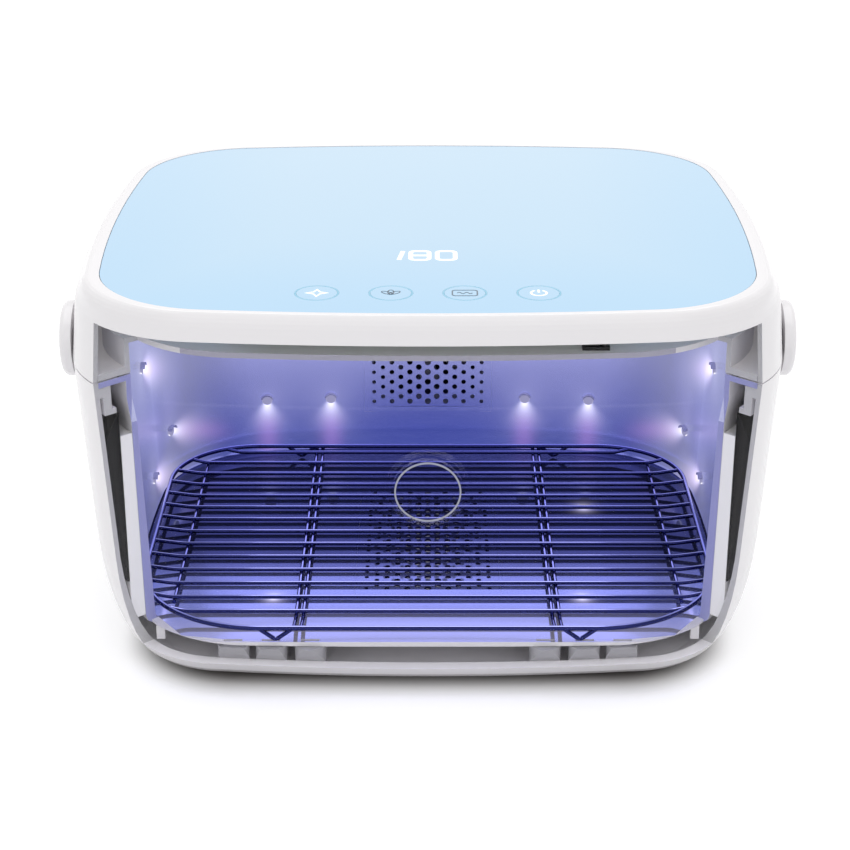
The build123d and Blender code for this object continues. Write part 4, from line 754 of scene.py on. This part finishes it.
def clear_piece(name, profile, closed, body, nodes):
    """Turned clear part that stands for some nodes of a body."""
    verts, faces = lathe(profile, closed)
    mesh = bpy.data.meshes.new(name)
    mesh.from_pydata([Vector(lean(*v)) * MM for v in verts], [], faces)
    form = bmesh.new()
    form.from_mesh(mesh)
    bmesh.ops.recalc_face_normals(form, faces=form.faces)
    form.to_mesh(mesh)
    form.free()
    piece = link(name, mesh, CLEAR_INNER)
    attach(piece, body)
    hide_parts(*nodes)


def build_catch():
    """Button face and its collar, as clear as the pane they sit in."""
    face = [(0, FRONT_FACE), (BUTTON_RADIUS - 0.6, FRONT_FACE), (BUTTON_RADIUS - 0.15, FRONT_FACE + 0.2),
            (BUTTON_RADIUS, FRONT_FACE + 0.6), (BUTTON_RADIUS, FLANGE_FRONT),
            (FLANGE_RADIUS, FLANGE_FRONT), (FLANGE_RADIUS, FLANGE_BACK), (0, FLANGE_BACK)]
    collar = [(COLLAR_BORE, FLANGE_FRONT), (COLLAR_RADIUS, FLANGE_FRONT),
              (COLLAR_RADIUS, COLLAR_BACK), (COLLAR_BORE, COLLAR_BACK)]
    clear_piece("button_face", face, False, "release", ["release_button", "button_spring"])
    clear_piece("button_collar", collar, True, "base", ["button_carrier"])


# ------------------------------------------------------------ wire rack
def rim_half_width(y):
    """Half the width inside the rack's rim at a depth."""
    for into, radius in ((y - RACK_FRONT, RACK_FRONT_RADIUS), (RACK_BACK - y, RACK_BACK_RADIUS)):
        if into < radius:
            return RACK_HALF_WIDTH - radius + math.sqrt(radius ** 2 - (radius - into) ** 2)
    return RACK_HALF_WIDTH


def rim_points(height):
    """Outline of the rack, corner by corner."""
    points = []
    for sx, y, radius, start in ((1, RACK_BACK, RACK_BACK_RADIUS, 0), (-1, RACK_BACK, RACK_BACK_RADIUS, 90),
                                 (-1, RACK_FRONT, RACK_FRONT_RADIUS, 180),
                                 (1, RACK_FRONT, RACK_FRONT_RADIUS, 270)):
        centre_y = y - radius if y > 0 else y + radius
        corner = arc(sx * (RACK_HALF_WIDTH - radius), centre_y, radius, radius, start, start + 90, 20)
        points += [(*point, height) for point in corner]
    return points


def build_rack():
    """Round wires over the plain ones: rim, cross wires, rails, bearers and feet."""
    rim_height = RACK_HEIGHT + RACK_RISE
    runs = [(RIM_WIRE, rim_points(rim_height), True)]
    first = RACK_FRONT + RACK_FIRST
    last = first + (RACK_WIRES - 1) * RACK_PITCH
    for index in range(RACK_WIRES):
        y = first + index * RACK_PITCH
        end = rim_half_width(y)
        bend = min(RACK_RAIL - RACK_BEND_INSET, end - RACK_BEND_MIN)
        line = [(-end, y, rim_height), (-bend, y, RACK_HEIGHT), (bend, y, RACK_HEIGHT), (end, y, rim_height)]
        runs.append((WIRE, soften(line, RACK_BEND), False))
    low = RACK_HEIGHT - WIRE * RACK_BEARER_DROP
    for side in (-1, 1):
        rail = side * (RACK_RAIL - RACK_RAIL_INSET)
        runs.append((WIRE, [(rail, first + RACK_RAIL_END, low), (rail, last - RACK_RAIL_END, low)], False))
        for shift in (-1, 1):
            x = side * RACK_BEARER + shift * RACK_BEARER_GAP / 2
            line = [(x, RACK_FRONT, rim_height), (x, first - RACK_BEARER_END, low),
                    (x, last + RACK_BEARER_END, low), (x, RACK_BACK, rim_height)]
            runs.append((WIRE, soften(line, RACK_BEND), False))
        for y in (RACK_FRONT, RACK_BACK):
            x = side * RACK_FOOT
            line = [(x - RACK_FOOT_HALF, y, rim_height), (x, y, FLOOR_HEIGHT + WIRE),
                    (x + RACK_FOOT_HALF, y, rim_height)]
            runs.append((WIRE, soften(line, RACK_FOOT_BEND), False))
    rack = tube("rack_wires", runs, STEEL)
    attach(rack, "rack")
    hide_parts("wire_rack")


# ------------------------------------------------------------ perforated plates
def hole_tile(radius, sides=16):
    """One lattice cell with a round hole through it (mm, hole along Z)."""
    half_x, half_y = HOLE_SPACING * math.sqrt(3) / 4, HOLE_SPACING / 2
    angles = [2 * math.pi * step / sides for step in range(sides)]
    corners = [math.atan2(sy * half_y, sx * half_x) % (2 * math.pi) for sx in (-1, 1) for sy in (-1, 1)]
    angles = sorted(angles + corners)
    verts, faces = [], []
    for angle in angles:
        c, s = math.cos(angle), math.sin(angle)
        scale = min(half_x / max(abs(c), 1e-6), half_y / max(abs(s), 1e-6))
        edge = radius * c, radius * s
        verts += [(*edge, 0.0), (*edge, -GRILLE_DEPTH), (scale * c, scale * s, 0.0)]
    for step in range(len(angles)):
        a, b = 3 * step, 3 * ((step + 1) % len(angles))
        faces += [(a, a + 2, b + 2, b), (a + 1, a, b, b + 1)]
    mesh = bpy.data.meshes.new("hole_tile")
    mesh.from_pydata(verts, [], faces)
    return mesh


def lattice_tree(tiles):
    """Geometry nodes that lay hole tiles out on a hexagonal lattice, smaller towards the side columns."""
    tree = bpy.data.node_groups.new("hole_lattice", "GeometryNodeTree")
    tree.interface.new_socket("Frame", in_out="INPUT", socket_type="NodeSocketGeometry")
    for label, kind, default in (("Columns", "NodeSocketInt", GRILLE_COLUMNS),
                                 ("Rows", "NodeSocketInt", BACK_ROWS),
                                 ("Column Pitch", "NodeSocketFloat", HOLE_SPACING * math.sqrt(3) / 2),
                                 ("Row Pitch", "NodeSocketFloat", HOLE_SPACING / 2),
                                 ("Look", "NodeSocketMaterial", None)):
        socket = tree.interface.new_socket(label, in_out="INPUT", socket_type=kind)
        if default is not None:
            socket.default_value = default
    tree.interface.new_socket("Plate", in_out="OUTPUT", socket_type="NodeSocketGeometry")
    g = Graph(tree)
    source = g.node("NodeGroupInput").outputs
    target = g.node("NodeGroupOutput").inputs
    columns, rows = source["Columns"], source["Rows"]
    wide = g.math("MULTIPLY", g.math("SUBTRACT", columns, 1.0), source["Column Pitch"])
    high = g.math("MULTIPLY", g.math("SUBTRACT", rows, 1.0), source["Row Pitch"])
    grid = g.node("GeometryNodeMeshGrid", None, Size_X=wide, Size_Y=high, Vertices_X=columns, Vertices_Y=rows)
    index = g.node("GeometryNodeInputIndex").outputs[0]
    column = g.math("FLOOR", g.math("DIVIDE", g.math("ADD", index, 0.5), rows))
    row = g.math("SUBTRACT", index, g.math("MULTIPLY", column, rows))
    odd = g.math("MODULO", g.math("ADD", column, row), 2.0)
    drop = g.node("GeometryNodeDeleteGeometry", {"domain": "POINT"}, Geometry=grid.outputs["Mesh"],
                  Selection=g.math("GREATER_THAN", odd, 0.5))
    x = g.node("ShaderNodeSeparateXYZ", Vector=g.node("GeometryNodeInputPosition").outputs[0]).outputs[0]
    size = g.math("ROUND", g.math("DIVIDE", g.math("ABSOLUTE", x), source["Column Pitch"]))
    info = g.node("GeometryNodeCollectionInfo", None, Collection=tiles, Separate_Children=True)
    place = g.node("GeometryNodeInstanceOnPoints", None, Points=drop.outputs[0], Instance=info.outputs[0],
                   Pick_Instance=True, Instance_Index=size)
    real = g.node("GeometryNodeRealizeInstances", None, Geometry=place.outputs[0])
    both = g.node("GeometryNodeJoinGeometry")
    tree.links.new(source["Frame"], both.inputs[0])
    tree.links.new(real.outputs[0], both.inputs[0])
    look = g.node("GeometryNodeSetMaterial", None, Geometry=both.outputs[0], Material=source["Look"])
    g.put(target["Plate"], look.outputs[0])
    return tree


def plate_frame(rows):
    """Solid strips round the lattice: its margin and the half cells of the shorter columns."""
    column, half_row = HOLE_SPACING * math.sqrt(3) / 2, HOLE_SPACING / 2
    in_x, in_y = GRILLE_COLUMNS * column / 2, (rows + 1) * half_row / 2
    out_x, out_y = in_x + GRILLE_MARGIN, in_y + GRILLE_MARGIN
    rects = [(-out_x, -in_x, -out_y, out_y), (in_x, out_x, -out_y, out_y),
             (-in_x, in_x, -out_y, -in_y), (-in_x, in_x, in_y, out_y)]
    for index in range(1, GRILLE_COLUMNS, 2):
        x = (index - (GRILLE_COLUMNS - 1) / 2) * column
        rects += [(x - column / 2, x + column / 2, s - half_row / 2, s + half_row / 2)
                  for s in (-in_y + half_row / 2, in_y - half_row / 2)]
    verts, faces = [], []
    for x0, x1, y0, y1 in rects:
        start = len(verts)
        verts += [(x0, y0, 0), (x1, y0, 0), (x1, y1, 0), (x0, y1, 0)]
        faces.append(tuple(range(start, start + 4)))
    mesh = bpy.data.meshes.new("plate_frame")
    mesh.from_pydata(verts, [], faces)
    return mesh


def build_grilles():
    """Round holes over the plain ones of both grilles."""
    tiles = bpy.data.collections.new("hole_tiles")
    middle = (GRILLE_COLUMNS - 1) // 2
    for index in range(middle + 1):
        radius = HOLE_MIDDLE + (HOLE_EDGE - HOLE_MIDDLE) * index / middle
        tiles.objects.link(bpy.data.objects.new(f"tile_{index:02d}", hole_tile(radius)))
    tree = lattice_tree(tiles)

    def on_wall(x, y, z):
        height = BACK_GRILLE_HEIGHT + y
        reach = FRONT_BOW - MOUTH_HALF_DEPTH + wall_inset(height)
        back = CHAMBER_Y + math.sqrt(FRONT_BOW ** 2 - x * x) - reach
        return x, back - z, height

    def on_floor(x, y, z):
        return x, y + FLOOR_GRILLE_Y, FLOOR_HEIGHT + z

    plates = (("back_plate", BACK_ROWS, on_wall, "back_grille", 1),
              ("floor_plate", FLOOR_ROWS, on_floor, "floor_grille", 2))
    for name, rows, bend, node, through in plates:
        holder = bpy.data.objects.new(name, plate_frame(rows))
        bpy.context.scene.collection.objects.link(holder)
        modifier = holder.modifiers.new("lattice", "NODES")
        modifier.node_group = tree
        sockets = {item.name: item.identifier for item in tree.interface.items_tree}
        modifier[sockets["Rows"]] = rows
        modifier[sockets["Look"]] = LINER
        holder.update_tag()
        depsgraph = bpy.context.evaluated_depsgraph_get()
        mesh = bpy.data.meshes.new_from_object(holder.evaluated_get(depsgraph))
        bpy.data.objects.remove(holder)
        for vertex in mesh.vertices:
            vertex.co = Vector(bend(*vertex.co)) * MM
        plate = link(name, mesh, LINER)
        # the walls of each hole take the painted shade
        mesh.materials.append(HOLE_PAINTED_SHADE)
        for face in mesh.polygons:
            face.material_index = int(abs(face.normal[through]) < 0.5)
        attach(plate, "base")
        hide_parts(node)


build_grilles()
build_rack()
build_catch()


def digit_strokes():
    """The number 180 as strokes."""
    low, high = DIGIT_Y - DIGIT_HALF_HEIGHT, DIGIT_Y + DIGIT_HALF_HEIGHT
    eight = round_box(-3.6, DIGIT_Y, DIGIT_HALF_WIDTH, DIGIT_HALF_HEIGHT, DIGIT_CORNER)
    zero = round_box(8.4, DIGIT_Y, DIGIT_HALF_WIDTH - 0.1, DIGIT_HALF_HEIGHT, DIGIT_CORNER)
    lines = [([(-13.1, low + 0.1), (-11.4, high - 0.1)], False), (eight, True),
             ([(-7.0, DIGIT_Y), (-0.2, DIGIT_Y)], False), (zero, True)]
    return [(points, DIGIT_STROKE, closed) for points, closed in lines]


def star_sign(x):
    """Four-pointed star."""
    points = []
    for i in range(8):
        reach = 4.4 if i % 2 == 0 else 1.9
        angle = math.radians(45 * i)
        points.append((x + reach * math.cos(angle), KEY_Y + reach * math.sin(angle)))
    return [(points, 0.9, True)]


def leaf_sign(x):
    """Three leaves from one root."""
    outline = arc(0, 2.2, 1.3, 2.9, 0, 360, 20)[:-1]
    leaves = []
    for angle in (-50, 0, 50):
        c, s = math.cos(math.radians(angle)), math.sin(math.radians(angle))
        leaf = [(px * c - py * s + x, px * s + py * c + KEY_Y - 1.2) for px, py in outline]
        leaves.append((leaf, SIGN_STROKE, True))
    return leaves


def tray_sign(x):
    """Rounded tray with a wave in it."""
    wave = [(x - 3.2 + 0.32 * i, KEY_Y + 0.9 * math.sin(i * 0.63)) for i in range(21)]
    return [(round_box(x, KEY_Y, 5.4, 3.6, 1.4), 0.6, True), (wave, SIGN_STROKE, False)]


def power_sign(x):
    """Open ring with a bar in its gap."""
    return [(arc(x, KEY_Y, 3.4, 3.4, 120, 420, 28), LIT_STROKE, False),
            ([(x, KEY_Y + 0.6), (x, KEY_Y + 4.2)], LIT_STROKE, False)]


def flat_marks():
    """Numbers of the display and the signs in the touch fields."""
    keys = [(i - 1.5) * KEY_PITCH for i in range(4)]
    marks = (("display_numbers", digit_strokes(), GLOW, "lamp_white"),
             ("touch_signs_lit", star_sign(keys[0]) + power_sign(keys[3]), GLOW, "lamp_white"),
             ("touch_signs", leaf_sign(keys[1]) + tray_sign(keys[2]), ICON_LINE, "key_mark"))
    for name, strokes, look, slot in marks:
        piece = ribbon(name, strokes, look, PANEL_TOP + MARK_LIFT)
        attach(piece, "lid")


flat_marks()

# ------------------------------------------------------------ studio
floor_mesh = bpy.data.meshes.new("studio_floor")
floor_mesh.from_pydata([(-6, -4, 0), (6, -4, 0), (6, 10, 0), (-6, 10, 0)], [], [(0, 1, 2, 3)])


def seen_directly(g):
    """1 where the camera or a glossy surface sees this, 0 where it only lights others."""
    path = g.node("ShaderNodeLightPath").outputs
    return g.math("MAXIMUM", path["Is Camera Ray"], path["Is Glossy Ray"])


def floor_material():
    """White table with a painted shadow where the case stands, and a glow that grows with distance."""
    made, g, surface = material("floor_white")
    _, (x, y, _) = g.place()
    out_x = g.math("MAXIMUM", g.math("SUBTRACT", g.math("ABSOLUTE", x), SHADE_HALF_X), 0.0)
    out_y = g.math("MAXIMUM", g.math("SUBTRACT", g.math("ABSOLUTE", y), SHADE_HALF_Y), 0.0)
    away = g.math("SQRT", g.math("ADD", g.math("MULTIPLY", out_x, out_x), g.math("MULTIPLY", out_y, out_y)))
    open_floor = g.ramp(away, *SHADE_EDGE)
    colour = g.mix(open_floor, SHADE_COLOUR, FLOOR_COLOUR)
    bsdf = principled(g, Base_Color=colour, Roughness=0.75, Emission_Color=(1, 1, 1))
    far = g.ramp(away, *FAR_FLOOR, *FAR_GLOW)
    seen = g.math("MULTIPLY", seen_directly(g), open_floor)
    g.put(bsdf.inputs["Emission Strength"], g.math("MULTIPLY", seen, far))
    g.put(surface, bsdf.outputs[0])
    return made


floor = link("studio_floor", floor_mesh, floor_material())

world = bpy.data.worlds.new("studio")
bpy.context.scene.world = world
world.use_nodes = True
sky = Graph(world.node_tree)
strength = sky.math("ADD", SKY_LIGHT, sky.math("MULTIPLY", seen_directly(sky), SKY_SEEN - SKY_LIGHT))
sky.put(world.node_tree.nodes["Background"].inputs["Color"], (1.0, 1.0, 1.0))
sky.put(world.node_tree.nodes["Background"].inputs["Strength"], strength)


def area_light(name, place, target, size, power, colour=(1, 1, 1), body=None):
    """Rectangular light aimed at a point; one inside the case rides a body."""
    light = bpy.data.lights.new(name, "AREA")
    light.shape = "RECTANGLE"
    light.size, light.size_y = size
    light.energy = power
    light.color = colour
    holder = bpy.data.objects.new(name, light)
    holder.location = place
    holder.rotation_euler = (Vector(target) - Vector(place)).to_track_quat("-Z", "Y").to_euler()
    bpy.context.scene.collection.objects.link(holder)
    if body:
        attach(holder, body)


area_light("studio_top", (0.0, 0.1, 1.7), (0, 0, 0.1), (2.4, 2.0), 17)
area_light("studio_front", (0.0, -2.0, 1.1), (0, 0, 0.1), (2.6, 1.2), 5)
area_light("chamber_light", (0.0, -0.01, 0.160), (0, -0.01, 0), (0.20, 0.16), 0.13,
           (0.80, 0.78, 1.0), "lid")

camera = bpy.data.cameras.new("camera")
camera.sensor_width = 36.0
camera.lens = 83.01
camera.shift_x = -0.0033
camera.clip_end = 50.0
viewer = bpy.data.objects.new("camera", camera)
viewer.location = (0.0, -0.9129, 0.4710)
viewer.rotation_euler = (math.radians(66.7), 0.0, 0.0)
bpy.context.scene.collection.objects.link(viewer)
bpy.context.scene.camera = viewer
bpy.context.scene.view_settings.view_transform = "Standard"
